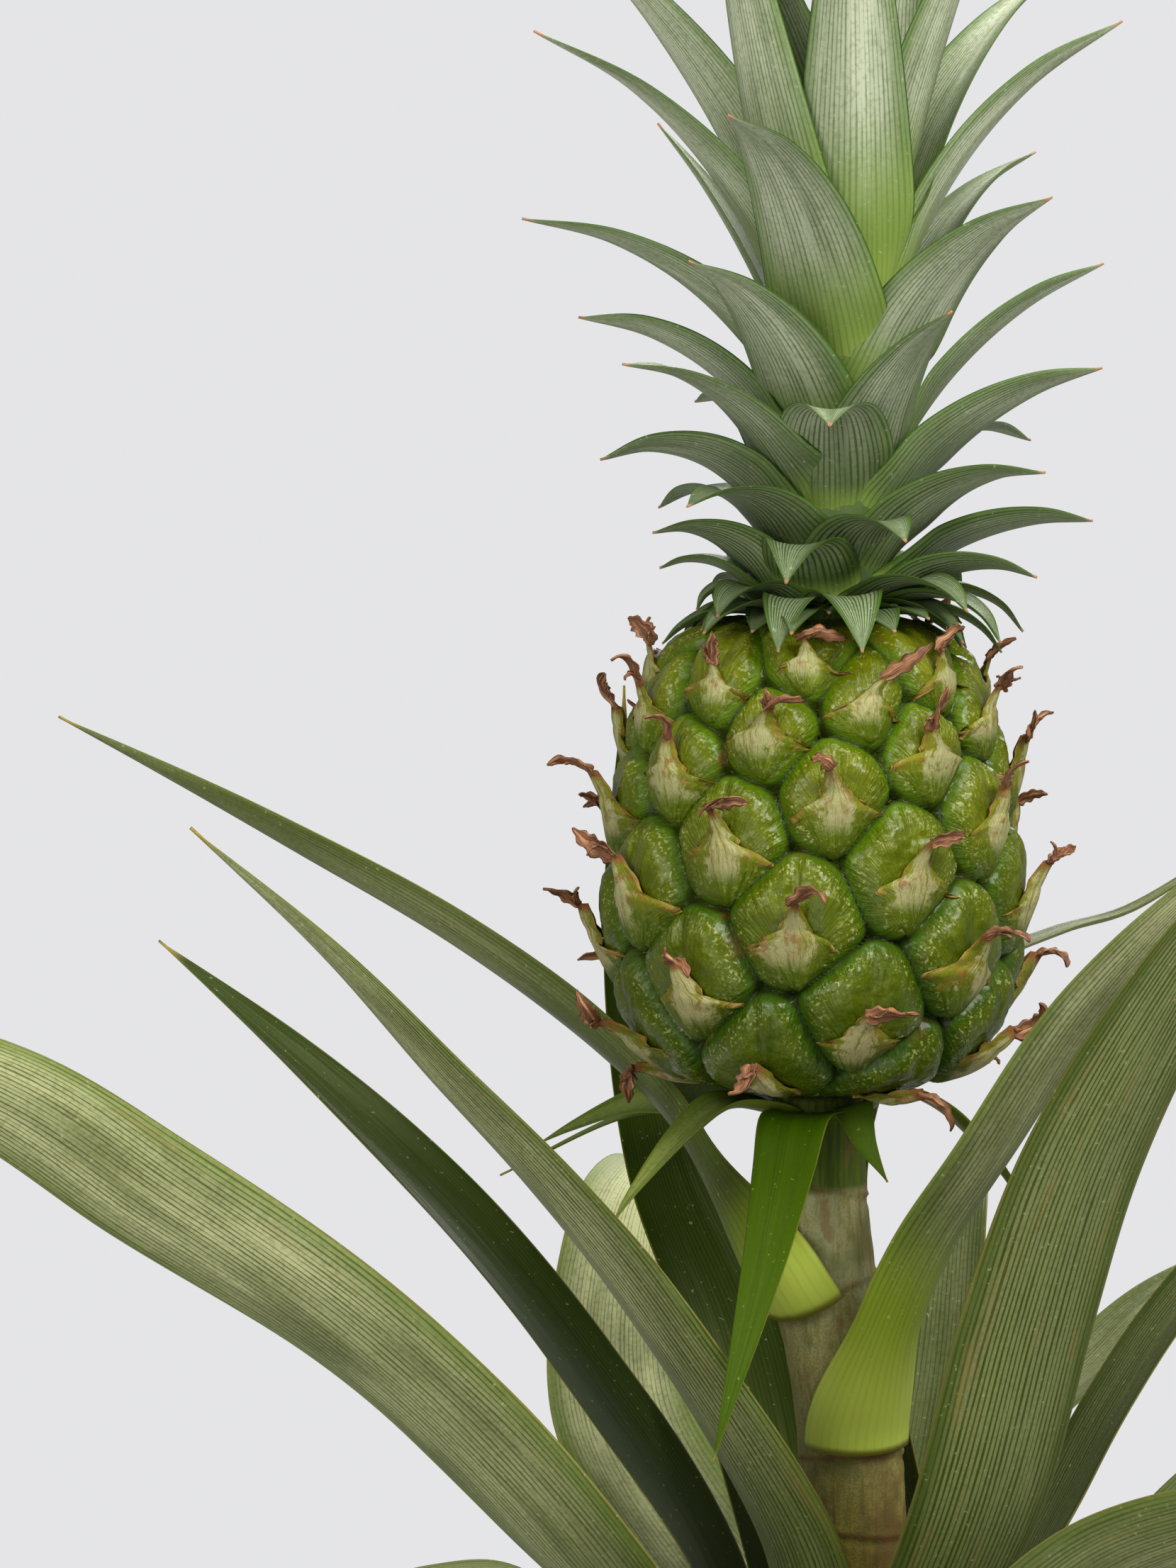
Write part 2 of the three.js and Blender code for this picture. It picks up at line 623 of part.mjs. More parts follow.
function crownLeaf(k) {
  const late = Math.max(0, k - 29);
  const early = Math.max(0, k - late);
  const leaf = {
    azimuth: CROWN_START + CROWN_TURN * k,
    height: CROWN_BOTTOM + 3 + 0.45 * early + 0.022 * early * early + 2 * late,
    lean: Math.min(44, Math.max(5, 34 - 0.8 * k)),
    droop: 148 - 1.9 * k - 2.6 * late,
    length: 26 + 1.3 * k + 0.02 * k * k,
    turn: 0,
  };
  const stray = CROWN_STRAYS.find((row) => row[0] === k);
  if (stray) {
    [, leaf.azimuth, leaf.lean, leaf.droop, leaf.length, leaf.height, leaf.turn] = stray;
  }
  const width = Math.min(26, 19 + 0.42 * k);
  const radius = 10.5 - 0.18 * Math.max(0, k);
  return {
    ...leaf,
    axisX: crownX(leaf.height),
    radius,
    sheath: 5,
    swing: 0,
    width,
    footWidth: Math.min(width, 2 * radius * radians(75)),
    taper: 2.1,
    neck: 1,
    roll: [leaf.turn, leaf.turn],
    cup: 30,
    tipCup: 40,
  };
}

function crown() {
  const core = turned([
    [0, CROWN_BOTTOM],
    [10.5, CROWN_BOTTOM],
    [12, 406],
    [10, 425],
    [7, 445],
    [4, 466],
    [0, 476],
  ], 16);
  const place = core.attributes.position;
  for (let i = 0; i < place.count; i += 1) {
    place.setX(i, place.getX(i) + crownX(place.getZ(i)));
  }
  const blades = [];
  for (let k = CROWN_LOWEST; k <= CROWN_HIGHEST; k += 1) {
    blades.push(blade(crownLeaf(k), CROWN_ROWS, 2, 1.3));
  }
  return fused([core, ...blades]);
}

const plant = new THREE.Group();
plant.add(mesh('pot', pot(), COLOURS.pot, 0.5));
plant.add(mesh('soil', soil(), COLOURS.soil, 0.95));
plant.add(mesh('stem', stem(), COLOURS.stem, 0.7));
plant.add(mesh('fruit', fruit(), COLOURS.fruit, 0.45));
plant.add(mesh('crown', crown(), COLOURS.crown, 0.55));
for (const leaf of SHAPED_LEAVES) {
  plant.add(mesh(leaf.name, blade(stemLeaf(leaf), LEAF_ROWS, LEAF_COLUMNS, LEAF_THICK), COLOURS.leaf, 0.55));
}
ARCHING_LEAVES.forEach((leaf, i) => {
  const geometry = blade(stemLeaf(leaf), LEAF_ROWS, LEAF_COLUMNS, LEAF_THICK);
  plant.add(mesh(`leaf_lower_${String(i + 1).padStart(2, '0')}`, geometry, COLOURS.leaf, 0.55));
});

export default plant;
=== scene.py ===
"""Looks for the potted pineapple plant: fruit, crown, stem, leaves, soil and pot."""

import math

import bmesh
import bpy
import numpy as np
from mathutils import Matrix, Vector


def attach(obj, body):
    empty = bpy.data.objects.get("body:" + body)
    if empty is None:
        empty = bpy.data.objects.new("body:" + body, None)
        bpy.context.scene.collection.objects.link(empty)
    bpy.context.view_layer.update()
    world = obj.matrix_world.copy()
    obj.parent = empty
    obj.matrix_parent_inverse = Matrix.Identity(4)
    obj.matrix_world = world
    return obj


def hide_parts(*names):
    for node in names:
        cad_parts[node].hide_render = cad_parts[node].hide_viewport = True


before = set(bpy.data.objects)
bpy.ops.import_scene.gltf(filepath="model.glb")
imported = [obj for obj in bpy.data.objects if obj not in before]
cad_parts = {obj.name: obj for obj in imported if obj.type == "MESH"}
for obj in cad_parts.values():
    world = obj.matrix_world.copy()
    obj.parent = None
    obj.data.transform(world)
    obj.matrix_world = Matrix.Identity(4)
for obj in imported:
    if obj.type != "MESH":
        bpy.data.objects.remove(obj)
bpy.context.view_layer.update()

MM = 0.001
GOLDEN = 0.6180339
GREEN_SHEEN = (0.85, 0.95, 0.45, 1)

# Pot and soil, in millimetres
POT_SIDES = 160
SOIL_LEVEL = 106
SOIL_EDGE = 104.6
SOIL_SIDES = 220
STEM_HOLE = 15.4
SOIL_BITS = 950
CHIP_EVERY = 9
SOIL_SEED = 21

# Stem: height, radius and sideways lean of its middle, in millimetres
STEM = np.array([
    (62, 13, 0), (84, 15, 0), (120, 15, 0), (190, 12.2, 0), (202, 11, -0.3), (225, 10.3, -1), (244, 10, -1.3),
    (252, 10, -1.8), (260, 10, -2.9), (269, 10, -4.5), (276, 10, -6), (285, 9.4, -6.8), (297, 8.7, -7.3),
    (316.2, 8.3, -7.8),
]).T
SLANTED_SCAR = 279
SCARS = (118, 131, 144, 157, 170, 183, 196, 208, 222, 234, 247, SLANTED_SCAR, 298)

# Fruit: running height, radius and true height of its side profile
FRUIT_X = -9
FRUIT = np.array([
    (300, 5, 316.9), (306, 12, 317.1), (311, 18, 317.8), (316, 24, 319.2), (321, 29.5, 321.8),
    (326, 33.2, 326), (332, 36.2, 332), (339, 38.4, 339), (347, 39.4, 347), (355, 39.4, 355),
    (364, 38.6, 364), (376, 36.8, 376), (386, 34.6, 385.9), (393.5, 32, 393.4), (399, 29, 398.4),
    (404, 24.8, 402.3), (409, 19.6, 404.9), (414, 13.6, 405.6), (420, 8, 405),
]).T
EYE_TURN = -137.6
EYE_START = -86.4
EYES = range(-30, 22)
# Eyes whose dried tip hangs down
HANGING_TIPS = (-30, -28, -26, -25)
BRACT_SEED = 400

CROWN_BOTTOM = 402.4
CROWN_TURN = -137.5
CROWN_START = -52
CROWN_LEAVES = range(-10, 42)
SKIRT_LEAVES = 21
# Crown leaves off the even spiral: azimuth, lean, droop, length, height and roll
CROWN_STRAYS = {
    -10: (-107, 52, 168, 28, 404, 0), -8: (-28, 52, 156, 31, 404, 0), -5: (-81, 52, 162, 31, 404, 0),
    -3: (-1, 50, 150, 32, 404, 0), -2: (-134, 44, 152, 23, 405, 0), 0: (-42, 44, 142, 28, 405, 0),
    1: (172, 34, 116, 25, 406, 0), 3: (-103, 32, 144, 35, 408, 0), 5: (-14, 43, 113, 35, 404, -14),
    6: (-160, 30, 104, 31, 408, 12), 8: (-65, 18, 132, 31, 410, 0), 9: (145, 25, 124, 37, 414, 0),
    10: (5, 44, 96, 48, 406, -20), 11: (-134, 29, 117, 37, 414, 0), 13: (-29, 27, 94, 47, 409, -12),
    14: (-174, 19, 114, 46, 416, 18), 15: (37, 21, 111, 55, 416, 0), 16: (-94, 21, 116, 50, 422, 0),
    17: (123, 20, 101, 51, 421, 0), 18: (-6, 28, 78, 58, 417, -22), 19: (-144, 23, 89, 56, 421, -8),
    21: (-62, 21, 66, 52, 424, 12), 22: (165, 17, 86, 62, 424, 22), 23: (21, 23, 69, 73, 422, -24),
    24: (-128, 15, 78, 63, 428, 0), 26: (-41, 11, 73, 68, 433, -14), 27: (-165, 22, 85, 77, 434, 4),
    28: (50, 16, 74, 84, 437, -14), 29: (-110, 17, 85, 94, 437, 0), 30: (144, 21, 44, 74, 437, 16),
    31: (17, 6, 64, 93, 444, -28), 32: (-142, 16, 75, 105, 439, -14), 34: (-94, 15, 22, 117, 446, 0),
    35: (176, 14, 48, 102, 449, 34), 37: (-145, 22, 7, 118, 448, 0), 39: (-15, 7, 27, 96, 458, -14),
}

# Points along a leaf's middle line
STEPS = 96
# Rosette leaves above the pot: name; looks; azimuth, height, lean, sheath, width and taper; roll; path
LEAF_LOOKS = ("bloom", "stripes", "rust", "foot")
SHAPED_LEAVES = [
    ("leaf_front_left_long", (0.84, 0.6, 0.3, 0.12), (222, 157.6, 23, 31, 31, 3.4), (20, 80),
     [(-52, -44, 235), (-74, -50, 261), (-96, -56, 282), (-128, -64, 306), (-153, -74, 325), (-185, -92, 339),
      (-213, -118, 333)]),
    ("leaf_front_left_narrow", (0.74, 0.9, 0.35, 0.1), (243, 184.4, 12, 26, 22.5, 2), (-15, -9),
     [(-13, -24, 234), (-41, -32, 281), (-58, -42, 304), (-77, -52, 326), (-96, -62, 348), (-120, -74, 372)]),
    ("leaf_back_left_dark", (0.0, 0.08, 0.0, 0.05), (158, 164.2, 20, 30, 26, 2.4), (-18, -42),
     [(-28, 28, 218), (-54, 46, 256), (-72, 54, 278), (-89, 62, 295), (-109, 72, 312), (-140, 86, 336)]),
    ("leaf_back_left_steep", (0.0, 0.08, 0.0, 0.05), (124, 181, 13, 27, 26, 1.8), (-28, -36),
     [(-22, 46, 260), (-36, 58, 294), (-44, 70, 342), (-44, 80, 389)]),
    ("leaf_back_left_arching", (0.98, 0.05, 0.0, 0.12), (100, 154.2, 24, 32, 35, 3), (0, -10),
     [(-44.5, 92, 235), (-44, 112, 268), (-38, 140, 279), (-26, 200, 263)]),
    ("leaf_back_right_arching", (0.22, 0.3, 0.1, 0.12), (74, 167.6, 19, 29, 21, 3), (0, 0),
     [(20, 72, 249), (24, 90, 274), (28, 116, 280), (33, 170, 266)]),
    ("leaf_front_right_long", (0.2, 0.7, 0.5, 0.12), (285, 170.9, 17, 29, 28.5, 3.4), (-3, -18),
     [(20, -50, 249), (27, -60, 282), (35, -70, 312), (47, -82, 340), (58, -92, 360), (78, -108, 384)]),
    ("leaf_right_folded", (0.12, 0.4, 0.2, 0.12), (11, 177, 20, 27, 24, 2.6), (8, 25),
     [(41, 24, 231), (52, 30, 250), (66, 38, 269), (90, 48, 293), (115, 56, 309)]),
    ("leaf_back_right_low", (0.5, 0.3, 0.1, 0.12), (50, 147.5, 32, 36, 24, 2.6), (5, 5),
     [(36, 62, 238), (51, 74, 249), (68, 90, 261), (101, 120, 272)]),
    ("leaf_back_right_thin", (0.4, 0.3, 0.1, 0.12), (47, 190, 11, 25, 17, 2.2), (0, 0),
     [(-1, 34, 289), (6, 48, 315), (23, 66, 330), (46, 84, 338), (62, 92, 342), (93, 104, 361)]),
    ("leaf_front_right_low", (0.42, 0.5, 0.2, 0.12), (302, 150.8, 25, 33, 30, 3), (-14, -60),
     [(21, -96, 233), (39, -118, 255), (65, -140, 264), (94, -170, 252)]),
    ("leaf_stalk_right", (0.9, 0.4, 0.2, 0.38), (279, 249, 10, 4, 16, 3), (19, -11),
     [(4, -20, 273), (11, -26, 291), (22, -34, 310), (34, -44, 332), (45, -54, 348), (66, -70, 373)]),
    ("leaf_stalk_left", (0.35, 0.3, 0.05, 0.14), (200, 274, 32, 5, 16, 2.2), (6, 16),
     [(-34, 14, 308), (-49, 24, 323), (-76, 34, 342), (-109, 44, 360), (-157, 56, 384)]),
]
# How the two stalk leaves clasp the stem
CLASPS = {
    "leaf_stalk_right": {"flare": 1.7, "hug": 62},
    "leaf_stalk_left": {"flare": 2.2, "hug": 88, "lift": 1.7},
}
# Lower leaves
LOWER_FORM = ("azimuth", "height", "lean", "sheath", "length", "droop", "swing", "width")
LOWER_LEAVES = [
    (288, 114, 40, 30, 255, 128, 10, 26),
    (90, 117.3, 39, 30, 262, 122, -8, 27),
    (205, 120.7, 37, 30, 262, 126, 12, 26),
    (0, 124, 36, 32, 280, 118, -10, 27),
    (128, 127.4, 35, 30, 226, 140, 14, 26),
    (262, 130.8, 33, 32, 285, 124, -12, 28),
    (38, 134, 32, 34, 285, 112, 12, 27),
    (321, 137.4, 31, 34, 280, 122, -14, 27),
    (165, 140.8, 33, 30, 236, 150, 10, 27),
    (238, 144.2, 28, 34, 285, 125, 12, 27),
    (345, 160.9, 28, 36, 300, 118, 10, 27),
]
# Small bracts under the fruit: azimuth, height, lean, sheath, width and taper; bloom; path; what else differs
COLLAR = [
    ((256, 312, 72, 4, 15.5, 1.25), 0.06,
     [(-13, -17, 313), (-15, -22, 305), (-18, -30, 293), (-22, -38, 279), (-29, -47, 255)],
     {"cup": 12, "tip_cup": 30}),
    ((203, 311.5, 66, 4, 14, 1.4), 0.95,
     [(-26, -9, 314.5), (-33, -14, 310), (-43.5, -22, 299.5), (-47, -25, 295)], {}),
    ((306, 312.5, 76, 3, 11, 1.15), 0.1, [(-2, -13, 315), (0, -17, 309), (4, -20, 302)], {"cup": 16}),
    ((160, 311.5, 62, 4, 13, 2.4), 0.35, [(-28, 20, 312), (-41, 33, 310), (-54, 40, 304), (-61, 44, 300)],
     {"cup": 18, "tip_cup": 24, "roll": (-48, -48)}),
    ((115, 311.5, 66, 4, 9, 1.6), 0.35, [(-16, 24, 311), (-30, 38, 308), (-44, 46, 305), (-69, 54, 292)],
     {"cup": 22, "roll": (-24, -24)}),
    ((30, 311.5, 60, 4, 9, 1.8), 0.35, [(7, 8, 315), (16, 14, 311), (29, 26, 297), (36, 32, 286)], {}),
    ((75, 311.5, 70, 3, 8, 1.6), 0.35, [(-1, 20, 310), (-2, 24, 305), (-2, 26, 300)], {"cup": 30}),
]

# Camera: distance and target in metres, tilt in degrees, focal length and frame height in photograph pixels
CAMERA_DISTANCE = 0.9
CAMERA_TARGET = (-0.0514, 0, 0.3744)
CAMERA_TILT = 4
FOCAL_LENGTH = 6751.7
FRAME_HEIGHT = 2212
SENSOR = 36

# Studio: the backdrop's and the soft light's colours, then each lamp's name, place, size and power
BACKGROUND = (0.783, 0.783, 0.797, 1)
SOFT_LIGHT = (0.27, 0.27, 0.27, 1)
LAMP_TARGET = (-0.02, 0, 0.36)
LAMPS = [
    ("key", (0.9, -1.1, 1.4), 0.8, 30),
    ("fill", (-1.15, -1.2, 1.0), 1.0, 15),
    ("low", (-0.2, -1.3, 0.15), 0.9, 4),
    ("top", (0.15, -0.3, 2.0), 1.0, 23),
    ("back", (0.4, 1.4, 1.2), 0.9, 12),
]


# Numbers

def smooth(start, end, value):
    t = np.clip((value - start) / (end - start), 0, 1)
    return t * t * (3 - 2 * t)


def unit(vectors):
    return vectors / np.linalg.norm(vectors, axis=-1, keepdims=True)


def around(sides):
    """Angles of a ring of points."""
    return np.arange(sides) * 2 * math.pi / sides


def ripple(points, wavelength, seed, waves=6):
    """Soft waves in random directions, about -1 to 1."""
    draw = np.random.default_rng(seed)
    total = np.zeros(points.shape[:-1])
    for _ in range(waves):
        direction = unit(draw.normal(size=points.shape[-1]))
        phase = points @ direction * 2 * math.pi / wavelength * draw.uniform(0.6, 1.6)
        total += np.sin(phase + draw.uniform(0, 6.3))
    return total / math.sqrt(waves)


def linear(display):
    """A display colour, written as six hex digits, as the linear one that the shader wants."""
    parts = np.array(list(bytes.fromhex(display))) / 255
    return (*np.where(parts <= 0.04045, parts / 12.92, ((parts + 0.055) / 1.055) ** 2.4).tolist(), 1.0)


# Meshes

def placed(name, data):
    """A new object in the scene."""
    made = bpy.data.objects.new(name, data)
    bpy.context.scene.collection.objects.link(made)
    return made


def grid_faces(rows, columns, flip=False, ring=False):
    """Four-sided faces of a grid of points, closed across its columns where ring is set."""
    i, j = np.meshgrid(np.arange(rows - 1), np.arange(columns if ring else columns - 1), indexing="ij")
    i, j = i.ravel(), j.ravel()
    k = (j + 1) % columns
    quads = np.stack([i * columns + j, i * columns + k, (i + 1) * columns + k, (i + 1) * columns + j], 1)
    return (quads[:, ::-1] if flip else quads).tolist()


class Heap:
    """Several grids gathered into one mesh."""

    def __init__(self):
        self.points = []
        self.faces = []
        self.readings = {}
        self.uv = []
        self.count = 0

    def add(self, points, faces, uv=None, **readings):
        points = points.reshape(-1, 3)
        size = len(points)
        self.points.append(points)
        self.faces += [[corner + self.count for corner in face] for face in faces]
        self.uv.append(np.zeros((size, 2)) if uv is None else uv)
        for key, value in readings.items():
            values = np.broadcast_to(np.ravel(value).astype(float), (size,))
            self.readings.setdefault(key, []).append(values)
        self.count += size

    def made(self, name, material, slot, node):
        """One finished piece, in place of a node's solid."""
        mesh = bpy.data.meshes.new(name)
        mesh.from_pydata((np.concatenate(self.points) * MM).tolist(), [], self.faces)
        mesh.polygons.foreach_set("use_smooth", np.ones(len(mesh.polygons), bool))
        for key, parts in self.readings.items():
            values = np.concatenate(parts).astype(np.float32)
            mesh.attributes.new(key, "FLOAT", "POINT").data.foreach_set("value", values)
        corners = np.zeros(len(mesh.loops), np.int32)
        mesh.loops.foreach_get("vertex_index", corners)
        uv = np.concatenate(self.uv).astype(np.float32)[corners]
        mesh.uv_layers.new(name="Blade").data.foreach_set("uv", uv.ravel())
        mesh.materials.append(material)
        made = placed(name, mesh)
        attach(made, "root")
        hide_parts(node)


def shell(heap, sheet, half, normal=None, uv=None, **readings):
    """Adds two faces either side of a sheet of points, sharing its margins."""
    rows, columns = sheet.shape[:2]
    if normal is None:
        normal = unit(np.cross(np.gradient(sheet, axis=0), np.gradient(sheet, axis=1)) + 1e-9)
    half = np.broadcast_to(half, (rows, columns))[..., None]
    front, back = (sheet + normal * half).reshape(-1, 3), (sheet - normal * half)[:, 1:-1].reshape(-1, 3)
    top = np.arange(rows * columns).reshape(rows, columns)
    under = top.copy()
    under[:, 1:-1] = rows * columns + np.arange(len(back)).reshape(rows, columns - 2)
    a, b, c, d = under[:-1, :-1], under[:-1, 1:], under[1:, 1:], under[1:, :-1]
    faces = grid_faces(rows, columns, flip=True) + np.stack([a, b, c, d], -1).reshape(-1, 4).tolist()
    for j in range(columns - 1):
        foot = [top[0, j], top[0, j + 1], under[0, j + 1], under[0, j]]
        head = [top[-1, j], under[-1, j], under[-1, j + 1], top[-1, j + 1]]
        faces += [list(dict.fromkeys(int(i) for i in end)) for end in (foot, head)]

    def both(values):
        values = np.broadcast_to(values, (rows, columns))
        return np.concatenate([values.ravel(), values[:, 1:-1].ravel()])

    if uv is not None:
        uv = np.stack([both(uv[0]), both(uv[1])], 1)
    heap.add(np.concatenate([front, back]), faces, uv,
             front=np.concatenate([np.ones(len(front)), np.zeros(len(back))]),
             **{key: both(value) for key, value in readings.items()})


# Leaf blades

def even_points(points):
    """Points spread evenly along a smooth curve, and its length."""
    p = np.vstack([2 * points[0] - points[1], points, 2 * points[-1] - points[-2]])
    spans = len(points) - 1
    fine = []
    for i in range(81):
        at = i / 80 * spans
        k = min(int(at), spans - 1)
        t = at - k
        a, b, c, d = p[k:k + 4]
        d0, d1, d2 = (np.linalg.norm(v) ** 0.5 for v in (b - a, c - b, d - c))
        t1 = ((b - a) / d0 - (c - a) / (d0 + d1) + (c - b) / d1) * d1
        t2 = ((c - b) / d1 - (d - b) / (d1 + d2) + (d - c) / d2) * d1
        fine.append(b + t1 * t + (-3 * b + 3 * c - 2 * t1 - t2) * t**2 + (2 * b - 2 * c + t1 + t2) * t**3)
    fine = np.array(fine)
    run = np.concatenate([[0], np.cumsum(np.linalg.norm(np.diff(fine, axis=0), axis=1))])
    at = np.linspace(0, run[-1], STEPS + 1)
    return np.stack([np.interp(at, run, fine[:, i]) for i in range(3)], 1), run[-1]


def leaf_line(leaf):
    """Middle line, frame and length of a leaf."""
    azimuth, lean = math.radians(leaf["azimuth"]), math.radians(leaf["lean"])
    out = np.array([math.cos(azimuth), math.sin(azimuth), 0])
    foot = np.array([leaf["axis_x"], 0, leaf["height"]]) + out * leaf["radius"]
    rise = foot + leaf["sheath"] * (math.sin(lean) * out + math.cos(lean) * np.array([0, 0, 1.0]))
    path = leaf.get("path")
    if path is None:
        part = (np.arange(20) + 0.5) / 20
        tilt = lean + (math.radians(leaf["droop"]) - lean) * part
        heading = azimuth + math.radians(leaf["swing"]) * part
        ways = np.stack([np.sin(tilt) * np.cos(heading), np.sin(tilt) * np.sin(heading), np.cos(tilt)], 1)
        path = (rise + np.cumsum(ways, 0) * (leaf["length"] - leaf["sheath"]) / 20)[4::5]
    middle, length = even_points(np.vstack([foot, rise, path]).astype(float))
    ahead = unit(np.gradient(middle, axis=0))
    across = np.array([-out[1], out[0], 0.0])
    sides = []
    for way in ahead:
        across = unit(across - way * (across @ way))
        sides.append(across)
    sides = np.array(sides)
    u = np.linspace(0, 1, STEPS + 1)
    start, end = leaf["roll"]
    roll = np.radians(start * smooth(0.1, 0.42, u) + (end - start) * smooth(0.42, 0.92, u))[:, None]
    sides = sides * np.cos(roll) + np.cross(ahead, sides) * np.sin(roll)
    return middle, sides, np.cross(ahead, sides), u, length


def blade(heap, leaf, every, columns, thick, **readings):
    """Adds a leaf's two faces, which share their margins."""
    middle, sides, inner, u, length = leaf_line(leaf)
    pick = np.arange(0, STEPS + 1, every)
    middle, sides, inner, u = middle[pick], sides[pick], inner[pick], u[pick]
    neck = leaf["neck"]
    wide = leaf["width"]
    width = wide * (1 - u ** leaf["taper"]) * (neck + (1 - neck) * smooth(0.15, 0.5, u))
    width = np.maximum(0.35, width + (leaf["foot_width"] - wide * neck) * (1 - smooth(0, 0.2, u)))
    clasp = math.radians(leaf["cup"]) if leaf["hug"] == 0 else width / 2 / leaf["radius"]
    cup = clasp + (math.radians(leaf["cup"]) - clasp) * smooth(0.05, 0.35, u)
    cup = (cup + math.radians(leaf["tip_cup"] - leaf["cup"]) * smooth(0.7, 1, u))[:, None]
    v = np.sin(np.linspace(-math.pi / 2, math.pi / 2, columns))[None]
    bend = width[:, None] / 2 / cup
    angle = cup * v
    wave = leaf.get("wave", 0) * np.sin(u[:, None] * length / 9 + v * 1.5) * v**2
    wave = wave * smooth(0.1, 0.4, u)[:, None]
    sheet = middle[:, None] + sides[:, None] * (bend * np.sin(angle))[..., None]
    sheet = sheet + inner[:, None] * (bend * (1 - np.cos(angle)) + wave)[..., None]
    normal = inner[:, None] * np.cos(angle)[..., None] - sides[:, None] * np.sin(angle)[..., None]
    half = thick * (1 - 0.55 * u[:, None]) * np.sqrt(np.clip(1 - v**2, 0, 1)) / 2
    uv = (u[:, None] * length / 100 + 0 * v, v * wide / 200 + 0 * u[:, None])
    shell(heap, sheet, half, normal, uv, u=u[:, None], v=v, **readings)


def stem_leaf(azimuth, height, lean, sheath, width, taper=2.8, **more):
    """A leaf's form, with a foot that clasps the stem."""
    leaf = dict(azimuth=azimuth, height=height, lean=lean, sheath=sheath, width=width, taper=taper,
                roll=(0, 0), neck=0.85, flare=1, hug=41, cup=24, tip_cup=50, lift=1.4)
    leaf.update(more)
    leaf["axis_x"] = np.interp(height, STEM[0], STEM[2])
    leaf["radius"] = np.interp(height, STEM[0], STEM[1]) + leaf["lift"]
    full = width * leaf["flare"]
    clasp = 2 * leaf["radius"] * math.radians(leaf["hug"])
    leaf["foot_width"] = min(full, clasp) if leaf["hug"] else full
    return leaf


# Fruit: a skin of six-sided eyes on a spiral

def eye_run(k):
    near = np.clip(k, -20, 15)
    return np.clip(376.5 + 1.57 * near - 0.0218 * near**2 + (k - near) * np.where(k > 15, 0.92, 2), 301, 419)


def softened(column):
    window = np.hanning(17)
    values = np.pad(np.interp(RUN, FRUIT[0], FRUIT[column]), 8, mode="edge")
    return np.convolve(values, window / window.sum(), "valid")


RUN = np.arange(294, 426.1, 0.5)
RADIUS = softened(1)
HEIGHT = softened(2)
EYE_K = np.arange(EYES.start, EYES.stop)
EYE_RUN = eye_run(EYE_K)
EYE_ANGLE = EYE_START + EYE_TURN * EYE_K


def skin_point(run, degrees, lift):
    radius, height = np.interp(run, RUN, RADIUS), np.interp(run, RUN, HEIGHT)
    rise = np.interp(run + 1, RUN, HEIGHT) - np.interp(run - 1, RUN, HEIGHT)
    widen = np.interp(run + 1, RUN, RADIUS) - np.interp(run - 1, RUN, RADIUS)
    size = np.hypot(rise, widen) + 1e-9
    out = radius + lift * rise / size
    angle = np.radians(degrees)
    return np.stack([FRUIT_X + out * np.cos(angle), out * np.sin(angle), height - lift * widen / size], -1)


def eye_place(run, degrees):
    """Nearest eye, place in it (right and up, in millimetres) and distance to its border."""
    radius = np.interp(run, RUN, RADIUS)
    turn = (degrees[..., None] - EYE_ANGLE + 180) % 360 - 180
    x = radius[..., None] * np.radians(turn)
    y = run[..., None] - EYE_RUN
    far = x**2 + y**2
    first = np.argmin(far, -1)[..., None]
    x1, y1, far1 = (np.take_along_axis(v, first, -1) for v in (x, y, far))
    gap = (far - far1) / (2 * np.hypot(x - x1, y - y1) + 1e-6)
    np.put_along_axis(gap, first, 99, -1)
    near = gap.min(-1, keepdims=True)
    soft = near[..., 0] - 1.1 * np.log(np.exp(-(gap - near) / 1.1).sum(-1))
    return first[..., 0], x1[..., 0], y1[..., 0], np.maximum(soft + 0.35, 0)


def relief(run, degrees):
    """How far the skin stands out, with its place in the eye."""
    eye, x, y, edge = eye_place(run, degrees)
    small = np.clip(np.interp(run, RUN, RADIUS) / 34, 0.3, 1)
    rise = 1 - np.clip(edge / (6.6 * small), 0, 1)
    dome = -4.9 + 5.2 * np.sqrt(1 - rise**2.4 + 1e-6)
    upper = smooth(-3, 4, y)
    lobes = 0.8 * upper * np.exp(-((np.abs(x) - 4.8) / 3.2) ** 2) * smooth(0, 4, edge)
    slant = 0.7 * np.sin(eye * 2.4)
    cleft = -0.8 * np.exp(-((x - slant) / 0.7) ** 2) * smooth(1, 6, y) * smooth(-0.5, 3, edge)
    fan = np.arctan2(x, y + 9)
    wrinkle = 0.16 * np.sin(fan * 42 + eye * 1.7 + 0.5 * np.sin(y))
    wrinkle = wrinkle * smooth(0.4, 1.6, edge) * smooth(5, 2, edge)
    pebble = 0.15 * np.sin(x * 5.1 + np.sin(y * 3.3 + eye)) * np.sin(y * 4.7 + 2 * np.sin(x * 2.1))
    pebble = pebble * smooth(4.8, 1.6, edge)
    return (dome + lobes + cleft + wrinkle + pebble) * small, (eye, x, y, edge)


